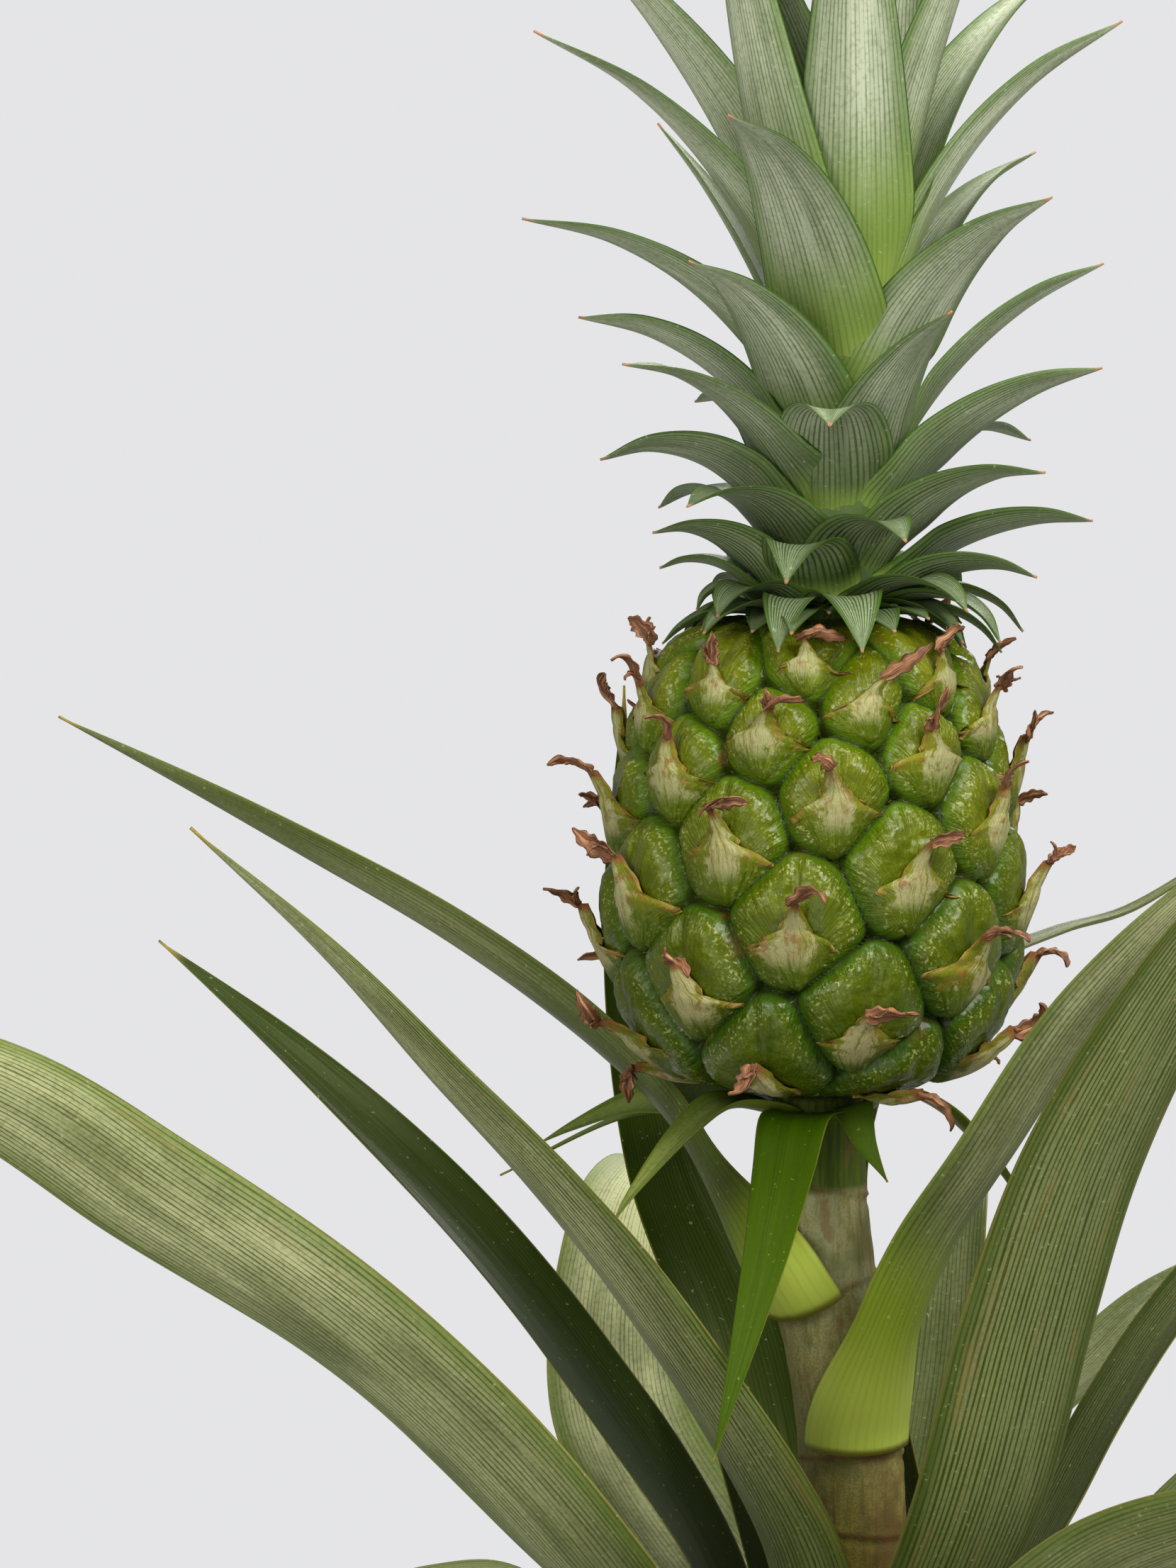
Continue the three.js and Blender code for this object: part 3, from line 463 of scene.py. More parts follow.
def fruit_body():
    """The skin, closed to a point at either end."""
    rows, columns = 230, 340
    run = np.linspace(300, 420, rows)[:, None] + np.zeros((1, columns))
    degrees = np.zeros((rows, 1)) + np.arange(columns)[None] * 360 / columns
    lift, (eye, x, y, edge) = relief(run, degrees)
    points = skin_point(run, degrees, lift)
    points += 0.12 * unit(points - [FRUIT_X, 0, 360]) * ripple(points, 2.6, 5, 9)[..., None]
    for end, height in ((0, FRUIT[2, 0] - 0.3), (-1, FRUIT[2, -1] + 0.2)):
        points[end, :, :2] = [FRUIT_X, 0] + 0.02 * (points[end, :, :2] - [FRUIT_X, 0])
        points[end, :, 2] = height
    heap = Heap()
    heap.add(points, grid_faces(rows, columns, ring=True), eye_x=x, eye_y=y, edge=edge,
             tone=eye * GOLDEN % 1)
    heap.made("fruit_eyes", fruit_look(), "fruit", "fruit")


def bract(heap, shreds, k):
    """The bract of one eye: flat on its lower half, with a keeled tip that stands out and dried shreds."""
    draw = np.random.default_rng(BRACT_SEED + k)
    run0, degrees0 = eye_run(k), EYE_START + EYE_TURN * k
    radius = np.interp(run0, RUN, RADIUS)
    wide = min(1.05, max(0.3, radius / 37)) * draw.uniform(0.93, 1.07)
    tall = min(1.05, max(0.5, (eye_run(k + 6.5) - eye_run(k - 6.5)) / 20.5)) * draw.uniform(0.94, 1.06)
    proud = 1 - 0.55 * smooth(2, 15, k)
    t = np.linspace(0, 1, 25)[:, None]
    s = np.sin(np.linspace(-math.pi / 2, math.pi / 2, 17))[None]
    q = np.clip((t - 0.6) / 0.4, 0, 1)
    lower = 0.3 + 8.3 * np.sin(math.pi / 2 * np.clip(t / 0.6, 0, 1)) ** 0.9
    upper = 4.6 * np.exp(-8 * q) + 4 * (1 - q) ** 1.1 + 0.4
    half_width = np.where(t < 0.6, lower, upper)
    phase = draw.uniform(0, 6)
    ragged = 1 + smooth(0.3, 0.55, t) * (0.13 * np.sin(t * 47 + phase + np.sign(s) * 1.3) * np.sin(t * 13 + k)
                                         + 0.09 * np.sin(t * 96 + 2 * phase * np.sign(s)))
    lopsided = 1 + 0.2 * draw.normal() * np.sign(s) * np.abs(s)
    x = s * half_width * ragged * lopsided * wide + draw.normal() * 1.3 * q**2 + draw.normal() * 0.5
    droop = np.abs(s) ** 3 * np.exp(-30 * (t - 0.62) ** 2)
    y = (-13 + 17 * t) * tall - (2.0 + 0.8 * draw.normal() + 0.6 * draw.normal() * np.sign(s)) * droop
    hinge = np.minimum(y, -1.0 * tall)
    run = np.clip(run0 + hinge, 300.5, 419.5) + np.zeros_like(s)
    degrees = degrees0 + np.degrees(x / max(radius, 9))
    lift = relief(run, degrees)[0]
    side = np.abs(s)
    ridge = (1 - side) ** (1.25 - 0.35 * q)
    lift = lift + 0.25 + (0.35 * smooth(0.6, 0.72, t) - 0.75 * smooth(0.62, 0.4, t)) * side**2
    lift = lift + (0.2 + 3.3 * smooth(0.2, 0.85, t)) * ridge * proud * (1 - 0.3 * q)
    lift = lift + 0.22 * np.sin(s * 13 + k + 2 * t) * smooth(0.1, 0.5, t) * (1 - side)
    lift = lift + 0.7 * droop * np.sin(t * 40 + phase)
    points = skin_point(run, degrees, lift)
    here = skin_point(run0, degrees0, 0)
    way = unit(skin_point(run0 + 2, degrees0, 0) - here)
    out = unit(skin_point(run0, degrees0, 1) - here)
    steep = 0.8 * smooth(378, 404, run0)
    tip_way = unit(way * (1 - steep) + np.array([0, 0, 1]) * steep + out * draw.uniform(0.3, 0.6))
    beyond = (y - hinge)[..., None]
    points = points + beyond * tip_way + out * (0.045 * beyond**2 * draw.uniform(-0.5, 1.4))
    half = 0.34 * np.sqrt(np.clip(1 - s**2, 0, 1)) * (1 - 0.4 * t)
    shell(heap, points, half, s=s, t=t, tone=k * GOLDEN % 1, height=(run0 - 300) / 120)
    tip = points[-1, 8]
    across = unit(np.cross(tip_way, out))
    lean = across * draw.uniform(-1.7, 1.7)
    heading = tip_way * draw.uniform(0.3, 1) + out * draw.uniform(0.1, 0.6) + lean
    if k in HANGING_TIPS:
        heading = tip_way * 0.2 + out * 0.4 + np.array([0, 0, -1.0])
    heading = unit(heading)
    size = draw.uniform(7.5, 12.5)
    shred(shreds, tip - heading * 1.4, heading, across, size, draw.uniform(1.5, 2.3), draw)
    for _ in range(draw.integers(0, 3)):
        heading = unit(heading + across * draw.uniform(-1, 1) + out * draw.uniform(-0.3, 0.5))
        length = size * draw.uniform(0.4, 0.8)
        shred(shreds, tip - heading, heading, across, length, draw.uniform(0.4, 1.1), draw)


def shred(heap, start, way, across, size, width, draw):
    """A dried, curled ribbon."""
    steps = 18
    axis = unit(across + 0.7 * draw.normal(size=3))
    curl = math.radians(draw.uniform(1, 9)) * draw.choice([-1, 1])
    twist = math.radians(draw.uniform(-11, 11))
    side = unit(np.cross(way, axis) * draw.uniform(-1, 1) + axis)
    side = unit(side - way * (side @ way))
    point, middles, sides = start.copy(), [], []
    for i in range(steps):
        middles.append(point.copy())
        sides.append(side.copy())
        point = point + way * size / (steps - 1)
        turn = curl * (0.3 + 1.4 * i / steps)
        way = unit(way * math.cos(turn) + np.cross(axis, way) * math.sin(turn) + 0.045 * draw.normal(size=3))
        side = unit(side * math.cos(twist) + np.cross(way, side) * math.sin(twist))
        side = unit(side - way * (side @ way))
    middles, sides = np.array(middles), np.array(sides)
    t = np.linspace(0, 1, steps)[:, None]
    s = np.linspace(-1, 1, 9)[None]
    half_width = width * np.interp(t, [0, 0.12, 0.35, 0.7, 0.9, 1], [0.7, 0.9, 1, 0.72, 0.4, 0.08])
    half_width = half_width * (1 + 0.2 * np.sin(t * 23 + draw.uniform(0, 6) + np.sign(s)))
    inner = unit(np.cross(np.gradient(middles, axis=0), sides))
    bend = draw.uniform(0.6, 1.5)
    points = middles[:, None] + sides[:, None] * (half_width * np.sin(bend * s) / bend)[..., None]
    dip = half_width * (1 - np.cos(bend * s)) / bend + 0.2 * np.sin(s * 8 + t * 7)
    points = points + inner[:, None] * dip[..., None]
    shell(heap, points, 0.13 * (1 - s**2) + 0.02, s=s, t=t, tone=draw.uniform())


def fruit():
    fruit_body()
    bracts, shreds = Heap(), Heap()
    for k in EYES:
        bract(bracts, shreds, k)
    bracts.made("fruit_bracts", bract_look(), "fruit", "fruit")
    shreds.made("fruit_dried_tips", shred_look(), "fruit", "fruit")


# Materials

class Look:
    """A material and short ways to write its nodes."""

    def __init__(self, name, **settings):
        self.material = bpy.data.materials.new(name)
        self.material.use_nodes = True
        self.tree = self.material.node_tree
        self.shader = self.tree.nodes["Principled BSDF"]
        for key, value in settings.items():
            self.shader.inputs[key.replace("_", " ")].default_value = value
        self.place = self.node("TexCoord").outputs["Object"]

    def put(self, socket, value):
        if isinstance(value, bpy.types.NodeSocket):
            self.tree.links.new(value, socket)
        else:
            socket.default_value = value

    def node(self, kind, inputs=(), **settings):
        node = self.tree.nodes.new("ShaderNode" + kind)
        for key, value in settings.items():
            setattr(node, key, value)
        for key, value in dict(inputs).items():
            self.put(node.inputs[key], value)
        return node

    def math(self, operation, *values, clamp=False):
        node = self.node("Math", operation=operation, use_clamp=clamp)
        for socket, value in zip(node.inputs, values):
            self.put(socket, value)
        return node.outputs[0]

    def times(self, first, *others):
        for value in others:
            first = self.math("MULTIPLY", first, value)
        return first

    def plus(self, first, *others):
        for value in others:
            first = self.math("ADD", first, value)
        return first

    def centred(self, value, size):
        """A value from 0 to 1 spread evenly about 0."""
        return self.math("MULTIPLY_ADD", value, size, -size / 2)

    def step(self, value, low, high, start=0.0, end=1.0):
        """Smooth rise from start to end while the value goes from low to high."""
        given = {"Value": value, "From Min": low, "From Max": high, "To Min": start, "To Max": end}
        return self.node("MapRange", given, interpolation_type="SMOOTHSTEP").outputs[0]

    def mix(self, share, first, second):
        node = self.node("Mix", {0: share}, data_type="RGBA")
        for i, colour in ((6, first), (7, second)):
            self.put(node.inputs[i], linear(colour) if isinstance(colour, str) else colour)
        return node.outputs[2]

    def coats(self, colour, *coats):
        """Colours laid over the first one in turn, each by its share."""
        for share, coat in coats:
            colour = self.mix(share, colour, coat)
        return colour

    def read(self, *names):
        """Values kept at the mesh's points."""
        values = [self.node("Attribute", attribute_name=name).outputs["Fac"] for name in names]
        return values if len(names) > 1 else values[0]

    def axes(self):
        return self.node("SeparateXYZ", {0: self.place}).outputs

    def noise(self, scale=1.0, detail=2.0, roughness=0.5, vector=None):
        vector = self.place if vector is None else vector
        return self.node("TexNoise", {"Vector": vector, "Scale": scale, "Detail": detail,
                                      "Roughness": roughness}).outputs[0]

    def stretched(self, *parts, detail=2.0, roughness=0.5):
        """Noise over up to three values, each with its own scale."""
        vector = self.node("CombineXYZ", {i: self.times(*part) for i, part in enumerate(parts)}).outputs[0]
        return self.noise(1.0, detail, roughness, vector)

    def finish(self, colour, roughness, *bumps):
        self.put(self.shader.inputs["Base Color"], colour)
        self.put(self.shader.inputs["Roughness"], roughness)
        normal = None
        for height, distance, strength in bumps:
            node = self.node("Bump", {"Height": height, "Distance": distance, "Strength": strength})
            if normal is not None:
                self.put(node.inputs["Normal"], normal)
            normal = node.outputs[0]
        self.put(self.shader.inputs["Normal"], normal)
        return self.material


def blade_look(name, upper, lower, deep, pale, lush, foot, young, margin, tip, lines, ribs=0.4, gloss=0.14,
               rim=0.45):
    """Finely lined leaf skin with a waxy bloom; the lines run together towards the tip."""
    look = Look(name, Specular_IOR_Level=gloss, Specular_Tint=GREEN_SHEEN)
    step, times, mix = look.step, look.times, look.mix
    u, v, front, bloom = look.read("u", "v", "front", "bloom")
    stripes, rust, foot_end = look.read("stripes", "rust", "foot")
    spot = look.node("SeparateXYZ", {0: look.node("UVMap", uv_map="Blade").outputs[0]})
    along, across = spot.outputs[0], spot.outputs[1]
    seed = (look.read("tone"), 37.0)
    edge = look.math("ABSOLUTE", v)

    wander = look.stretched((along, 1.2), (across, 16.0), seed, detail=1.0)
    broken = look.stretched((along, 7.0), (across, lines * 0.8), seed)
    wide = look.stretched((along, 1.6), (across, lines * 0.22), seed)
    mottle = look.stretched((along, 3.0), (across, 7.0), seed, detail=3.0)
    rusty = look.stretched((along, 4.0), (across, 26.0), seed, detail=4.0)
    flecks = look.noise(1100.0, 1.0)
    phase = look.plus(times(across, lines * 6.283), times(wander, 11.0))
    thin = step(look.plus(look.math("SINE", phase), look.centred(broken, 2.4)), 0.0, 1.15)
    lined = times(thin, stripes)

    wax = times(bloom, step(mottle, 0.25, 0.65, 0.45, 1.06), step(u, 0.12, 0.6, 0.25, 1.0),
                     step(thin, 1.0, 0.2, 0.55, 1.0), step(wide, 0.66, 0.4, 0.7, 1.0),
                     step(edge, 1.0, 0.35, 0.55, 1.0), 1.12)
    strips = times(step(thin, 0.4, 0.0), stripes, step(u, 0.1, 0.4), step(edge, 1.0, 0.6), 0.42)
    wax = look.math("MAXIMUM", wax, strips)
    wax = look.math("MULTIPLY", wax, step(flecks, 0.3, 0.55, 0.78, 1.04), clamp=True)

    fresh = mix(step(u, times(foot_end, 0.16), times(foot_end, 0.55)), foot, young)
    fresh = mix(times(thin, step(u, 0.0, foot_end, 0.06, 0.3)), fresh, deep)
    seat = times(step(along, 0.016, 0.004, 0.0, 0.75), step(u, 0.3, 0.2))
    ragged = look.plus(edge, look.centred(broken, 0.05))
    colour = look.coats(
        mix(front, lower, upper),
        (step(wide, 0.4, 0.66, 0.0, 0.5), deep),
        (wax, pale),
        (times(step(edge, 0.62, 0.96), bloom, 0.42), lush),
        (times(lined, 0.85), deep),
        (step(u, foot_end, times(foot_end, 0.45), 0.0, 0.92), fresh),
        (seat, "705c1e"),
        (times(step(rusty, 0.56, 0.76), rust), "7a6a3a"),
        (step(ragged, 0.95, 0.99, 0.0, rim), margin),
        (step(u, 0.965, 0.995), tip),
        (times(step(flecks, 0.6, 0.8), bloom, 0.1), pale),
        (step(flecks, 0.715, 0.77, 0.0, 0.35), pale),
    )
    return look.finish(colour, step(wax, 0.0, 0.8, 0.36, 0.6), (lined, 0.0003, ribs), (wide, 0.0012, 0.3))


def fruit_look():
    look = Look("fruit_skin", Specular_IOR_Level=0.25, Specular_Tint=GREEN_SHEEN, Coat_Weight=0.2,
                Coat_Roughness=0.16)
    step, times, mix = look.step, look.times, look.mix
    x, y, edge, tone = look.read("eye_x", "eye_y", "edge", "tone")
    # Painted shade: every skin colour mixed by height below is darker towards the bottom of the fruit and
    # lighter towards its top, after the light from above; the yellower top is partly the fruit's own tint.
    height = step(look.axes()[2], 0.318, 0.405)
    cloud = look.noise(150.0, 3.0)
    grain = look.noise(1000.0, 3.0, 0.6)
    drops = look.noise(560.0)
    dots = look.noise(1500.0, 1.0)
    fan = look.math("ARCTAN2", x, look.plus(y, 9.0))
    rays = look.stretched((fan, 24.0), (y, 0.14), (tone, 31.0))
    bloom = times(step(edge, 1.8, 5.0), step(rays, 0.36, 0.66, 0.2, 1.0),
                       step(cloud, 0.3, 0.6, 0.4, 0.95), 0.45)
    frost = times(step(dots, 0.56, 0.68), step(edge, 1.0, 2.2), step(edge, 6.0, 2.6, 0.1, 1.0),
                       step(cloud, 0.4, 0.6, 0.3, 1.0), 0.65)
    sere = times(step(look.noise(75.0, 3.0, 0.6), 0.6, 0.74), step(edge, 3.5, 0.6), 0.7)
    colour = look.coats(
        mix(height, "324400", "4c5600"),
        (step(cloud, 0.35, 0.65, 0.0, 0.6), mix(height, "424e00", "626802")),
        (bloom, mix(height, "545c0a", "7e821a")),
        (step(edge, 2.6, 1.0, 0.0, 0.9), mix(height, "264400", "4c6800")),
        # Painted shade: near-black green in the crease between the eyes.
        (step(edge, 1.0, 0.3, 0.0, 0.9), mix(height, "101c00", "283601")),
        (frost, "98a464"),
        (sere, "603a16"),
    )
    roughness = look.plus(step(drops, 0.35, 0.7, 0.36, 0.2), step(edge, 1.8, 0.5, 0.0, 0.5))
    return look.finish(colour, roughness, (rays, 0.0011, 0.4), (drops, 0.0011, 0.42), (grain, 0.0004, 0.3))


def bract_look():
    look = Look("fruit_bract", Specular_IOR_Level=0.24, Specular_Tint=GREEN_SHEEN)
    step, times, mix = look.step, look.times, look.mix
    s, t, tone, height = look.read("s", "t", "tone", "height")
    seed = (tone, 41.0)
    streak = look.stretched((s, 11.0), (t, 2.2), seed, detail=4.0, roughness=0.65)
    cloud = look.noise(210.0, 3.0, 0.6)
    grain = look.noise(1100.0, 3.0, 0.6)
    stain = look.noise(280.0, 4.0, 0.65)
    # Painted shade: the bract colours mixed by height are darker on the low eyes and lighter on the high
    # ones, after the light from above.
    lush = mix(height, "263a00", "485c04")
    olive = mix(height, "646010", "807e20")
    silver = mix(height, "a09668", "a4a272")
    sway = times(look.math("SINE", times(*seed)), 0.22)
    spread = look.plus(look.math("ABSOLUTE", look.plus(s, sway)), look.centred(streak, 1.0),
                       look.centred(cloud, 0.8), look.centred(stain, 1.6))
    middle = times(step(spread, 0.6, 0.34), step(t, 0.22, 0.46), step(t, 0.97, 0.8, 0.3, 1.0), 0.92)
    blotch = times(step(look.noise(330.0, 3.0, 0.65), 0.53, 0.66), step(t, 0.3, 0.6), 0.7)
    torn = look.plus(look.math("ABSOLUTE", s), look.centred(cloud, 0.4))
    rim = times(step(torn, 0.74, 0.97), step(t, 0.4, 0.58), 0.9)
    colour = look.coats(
        mix(step(streak, 0.35, 0.66), lush, mix(height, "465406", "687412")),
        (times(step(t, 0.35, 0.62), step(cloud, 0.3, 0.62, 0.25, 0.9)), olive),
        (middle, mix(step(streak, 0.3, 0.52), olive, silver)),
        (times(step(grain, 0.52, 0.68), step(t, 0.62, 0.3), 0.3), "a0a870"),
        (blotch, "805228"),
        (rim, mix(step(streak, 0.4, 0.6), "704a22", "a48442")),
        (step(t, 0.86, 0.97), "7a4c2a"),
    )
    return look.finish(colour, step(grain, 0.3, 0.7, 0.34, 0.56), (streak, 0.0014, 0.6), (grain, 0.0005, 0.4))


def shred_look():
    look = Look("dried_tip", Specular_IOR_Level=0.3)
    s, t, tone = look.read("s", "t", "tone")
    lines = look.stretched((s, 3.5), (t, 1.2), (tone, 23.0), detail=3.0, roughness=0.6)
    colour = look.coats(
        look.mix(look.step(lines, 0.35, 0.62), "5c3822", "966642"),
        (look.step(lines, 0.55, 0.72, 0.0, 0.8), "cea47a"),
        (look.step(look.noise(500.0), 0.52, 0.7, 0.0, 0.65), "4e2e1e"),
    )
    return look.finish(colour, look.step(lines, 0.3, 0.7, 0.5, 0.75), (lines, 0.0007, 0.6))


def stem_look():
    look = Look("stem_skin", Specular_IOR_Level=0.25)
    step, times, mix = look.step, look.times, look.mix
    x, y, z = look.axes()
    lines = look.stretched((x, 1100.0), (y, 1100.0), (z, 60.0))
    streaks = look.stretched((x, 620.0), (y, 620.0), (z, 110.0), detail=3.0, roughness=0.6)
    stain = look.stretched((x, 260.0), (y, 260.0), (z, 120.0), detail=3.0, roughness=0.6)
    meal = look.noise(1900.0, 4.0, 0.7)
    cloud = look.noise(110.0, 3.0, 0.6)
    # The stem turns paler and mealier upwards, its own colour; these upper colours are also lifted as painted
    # light against the shade under the fruit and leaves.
    rise = step(z, 0.215, 0.262)
    mealy = times(step(meal, 0.36, 0.64, 0.2, 0.75), step(streaks, 0.3, 0.6, 0.5, 1.05))
    scar = times(look.read("scar"), step(meal, 0.3, 0.6, 0.4, 1.0), step(cloud, 0.35, 0.6, 0.35, 0.95))
    colour = look.coats(
        mix(rise, "685a00", "706a28"),
        (mealy, mix(rise, "8e801a", "a49e6c")),
        # Painted light: a paler band at the top of the stem, under the fruit, where shade falls.
        (times(step(z, 0.266, 0.284), step(streaks, 0.38, 0.62, 0.05, 0.6)), "929670"),
        (times(step(cloud, 0.45, 0.66), 0.6), mix(rise, "343c0a", "56602c")),
        (times(step(x, -0.004, 0.006), step(cloud, 0.3, 0.55), 0.6), "624626"),
        (step(z, 0.2975, 0.2995, 0.0, 0.95), mix(step(lines, 0.4, 0.65), "364a00", "506204")),
        (times(step(lines, 0.56, 0.7), 0.35), "3e4016"),
        (step(stain, 0.56, 0.7, 0.0, 0.6), "74542a"),
        (scar, "603e1a"),
    )
    return look.finish(colour, step(meal, 0.3, 0.7, 0.55, 0.78), (meal, 0.0006, 0.5), (lines, 0.0005, 0.35))


def soil_look(name, dark, light):
    look = Look(name, Specular_IOR_Level=0.2)
    grain = look.noise(600.0, 4.0, 0.7)
    clods = look.noise(90.0, 3.0, 0.6)
    colour = look.coats(
        look.mix(look.step(grain, 0.35, 0.7), dark, light),
        (look.step(clods, 0.55, 0.75, 0.0, 0.6), "604a36"),
        (look.step(look.noise(420.0, 1.0), 0.7, 0.74), "968268"),
    )
    roughness = look.step(grain, 0.3, 0.7, 0.85, 0.98)
    return look.finish(colour, roughness, (grain, 0.001, 0.8), (clods, 0.003, 0.5))


def pot_look():
    look = Look("stoneware", Specular_IOR_Level=0.35)
    z = look.axes()[2]
    rings = look.noise(vector=look.node("CombineXYZ", {2: look.times(z, 420.0)}).outputs[0])
    cloud = look.noise(22.0, 3.0)
    grain = look.noise(1300.0, 3.0, 0.6)
    colour = look.coats(
        look.mix(look.step(cloud, 0.3, 0.7), "e2ddd2", "ece8df"),
        (look.times(look.step(rings, 0.45, 0.7), 0.25), "d6cec0"),
        (look.step(look.noise(520.0, 0.0), 0.74, 0.78, 0.0, 0.55), "8c765c"),
        (look.step(z, 0.006, 0.0005, 0.0, 0.55), "c4b49e"),
    )
    roughness = look.step(grain, 0.3, 0.7, 0.45, 0.62)
    return look.finish(colour, roughness, (rings, 0.0012, 0.25), (grain, 0.0003, 0.3))


# Pot, soil and stem

def turned(heap, profile, sides, wobble=0.0):
    """A profile of radius and height turned round the z axis."""
    profile = np.array(profile, float)
    angle = around(sides)
    radius = profile[:, :1] * (1 + wobble * np.sin(2 * angle + profile[:, 1:] / 40))
    points = np.stack([radius * np.cos(angle), radius * np.sin(angle), profile[:, 1:] + 0 * angle], -1)
    heap.add(points, grid_faces(len(profile), sides, ring=True))


def pot_inside(height):
    return 48 + 17 * (height - 7) / 115


def pot():
    base = [(0.05, 1.2), (44, 1.2), (45.5, 0.2), (49.5, 0)]
    wall = [(50.9, 0.6), (51.8, 1.6)] + [(52 + 17.6 * (z - 2) / 116, z) for z in np.linspace(3, 118, 60)]
    rim = [(69.85, 119.2), (69.95, 120.2), (69.7, 121), (69.1, 121.6), (68.2, 121.95), (67.2, 121.95),
           (66.2, 121.6), (65.6, 120.9), (65.2, 119.8)]
    inner = [(pot_inside(z), z) for z in np.linspace(118, 10, 24)] + [(45.4, 7.6), (43, 7), (0.05, 7)]
    heap = Heap()
    turned(heap, base + wall + rim + inner, POT_SIDES, 0.0006)
    heap.made("stoneware_pot", pot_look(), "pot", "pot")


def lumps(x, y):
    return 1.2 * (np.sin(x * 0.31 + y * 0.12) * np.cos(y * 0.27) + 0.6 * np.sin(x * 0.13 - y * 0.41))


def soil_bed(edge):
    """Soil with an uneven top and a plain hole for the stem."""
    hole = [(STEM_HOLE, z) for z in (62, 80, SOIL_EDGE)]
    top = [(radius, SOIL_LEVEL) for radius in np.linspace(STEM_HOLE + 0.4, edge - 0.5, 66)]
    side = [(edge, SOIL_EDGE), (pot_inside(60) - 0.5, 60), (pot_inside(12) - 0.5, 12)]
    under = [(pot_inside(8) - 4, 7.4), (0.05, 7.4)]
    heap = Heap()
    turned(heap, hole + top + side + under, SOIL_SIDES)
    points = heap.points[0]
    on_top = points[:, 2] > SOIL_LEVEL - 0.1
    ground = points[on_top]
    flat = ground[:, :2]
    ground[:, 2] += lumps(flat[:, 0], flat[:, 1]) + 0.7 * ripple(flat, 7, 11) + 0.35 * ripple(flat, 2.4, 12)
    points[on_top] = ground
    heap.made("soil_bed", soil_look("soil_fine", "261b14", "4e3a2a"), "soil", "soil")


def ball():
    """Points and faces of a small round ball."""
    work = bmesh.new()
    bmesh.ops.create_icosphere(work, subdivisions=2, radius=1)
    work.verts.index_update()
    points = np.array([v.co[:] for v in work.verts])
    faces = [[v.index for v in face.verts] for face in work.faces]
    work.free()
    return points, faces


def soil_bits(edge):
    """Crumbs and flat bark chips that lie on the soil."""
    draw = np.random.default_rng(SOIL_SEED)
    shape, faces = ball()
    bits = Heap()
    for i in range(SOIL_BITS):
        far = math.sqrt(draw.uniform(17.5**2, (edge - 2.5) ** 2))
        angle = draw.uniform(0, 2 * math.pi)
        x, y = far * math.cos(angle), far * math.sin(angle)
        chip = i % CHIP_EVERY == 0
        size = draw.uniform(1.6, 3.4) if chip else draw.uniform(0.5, 1.5) ** 1.4
        stretch = np.array([1.7, 0.9, 0.32]) if chip else draw.uniform(0.7, 1.2, 3)
        grain = shape * (1 + 0.22 * ripple(shape + i, 1.1, i % 17))[:, None] * stretch * size
        turn = draw.uniform(0, 6.28)
        tilt = draw.normal() * 0.25
        wide, deep, tall = grain.T
        right = wide * math.cos(turn) - deep * math.sin(turn)
        back = wide * math.sin(turn) + deep * math.cos(turn)
        spun = np.stack([right, back, tall + tilt * right], 1)
        bits.add(spun + [x, y, SOIL_LEVEL + lumps(x, y) + size * stretch[2] * 0.35], faces)
    bits.made("soil_bits", soil_look("soil_coarse", "3a281b", "70543a"), "soil", "soil")


def stem():
    rows, columns = 420, 64
    z = np.linspace(STEM[0, 0], STEM[0, -1], rows)[:, None]
    angle = around(columns)[None]
    near = np.zeros((rows, columns))
    notch = np.zeros((rows, columns))
    for i, height in enumerate(SCARS):
        slant = 3.2 * np.cos(angle) if height == SLANTED_SCAR else 1.4 * np.cos(angle - i * 2.4)
        wave = height + slant
        near = np.maximum(near, np.exp(-((z - wave) / 0.5) ** 2))
        notch = np.maximum(notch, np.exp(-((z - wave + 1.3) / 0.9) ** 2))
    radius = np.interp(z, STEM[0], STEM[1]) + 0.35 * near - 0.25 * notch
    middle = np.interp(z, STEM[0], STEM[2])
    points = np.stack([middle + radius * np.cos(angle), radius * np.sin(angle), z + 0 * angle], -1)
    points += 0.12 * ripple(points, 5, 3)[..., None] * np.stack([np.cos(angle), np.sin(angle), 0 * angle], -1)
    points[0, :, :2] *= 0.02
    points[-1, :, :2] = [middle[-1, 0], 0] + 0.02 * (points[-1, :, :2] - [middle[-1, 0], 0])
    heap = Heap()
    heap.add(points, grid_faces(rows, columns, ring=True), scar=near)
    heap.made("scarred_stem", stem_look(), "stem", "stem")


def collar():
    """Small bracts that hang under the fruit."""
    look = blade_look(
        "stem_bract", upper="324a00", lower="687224", deep="283e00", pale="969e54", lush="546c08",
        foot="5c6c10", young="485c08", margin="787a32", tip="8c7c3c", lines=130.0, ribs=0.2, gloss=0.07)
    heap = Heap()
    for i, (form, bloom, path, more) in enumerate(COLLAR):
        leaf = stem_leaf(*form, path=path, **{"neck": 1, "hug": 0, "cup": 40, "lift": -1, **more})
        blade(heap, leaf, 2, 11, 1.0, tone=i * 0.37 % 1, bloom=bloom, stripes=0.12, rust=0.05, foot=0.06)
    heap.made("stem_bracts", look, "leaf", "stem")


# Leaves of the rosette

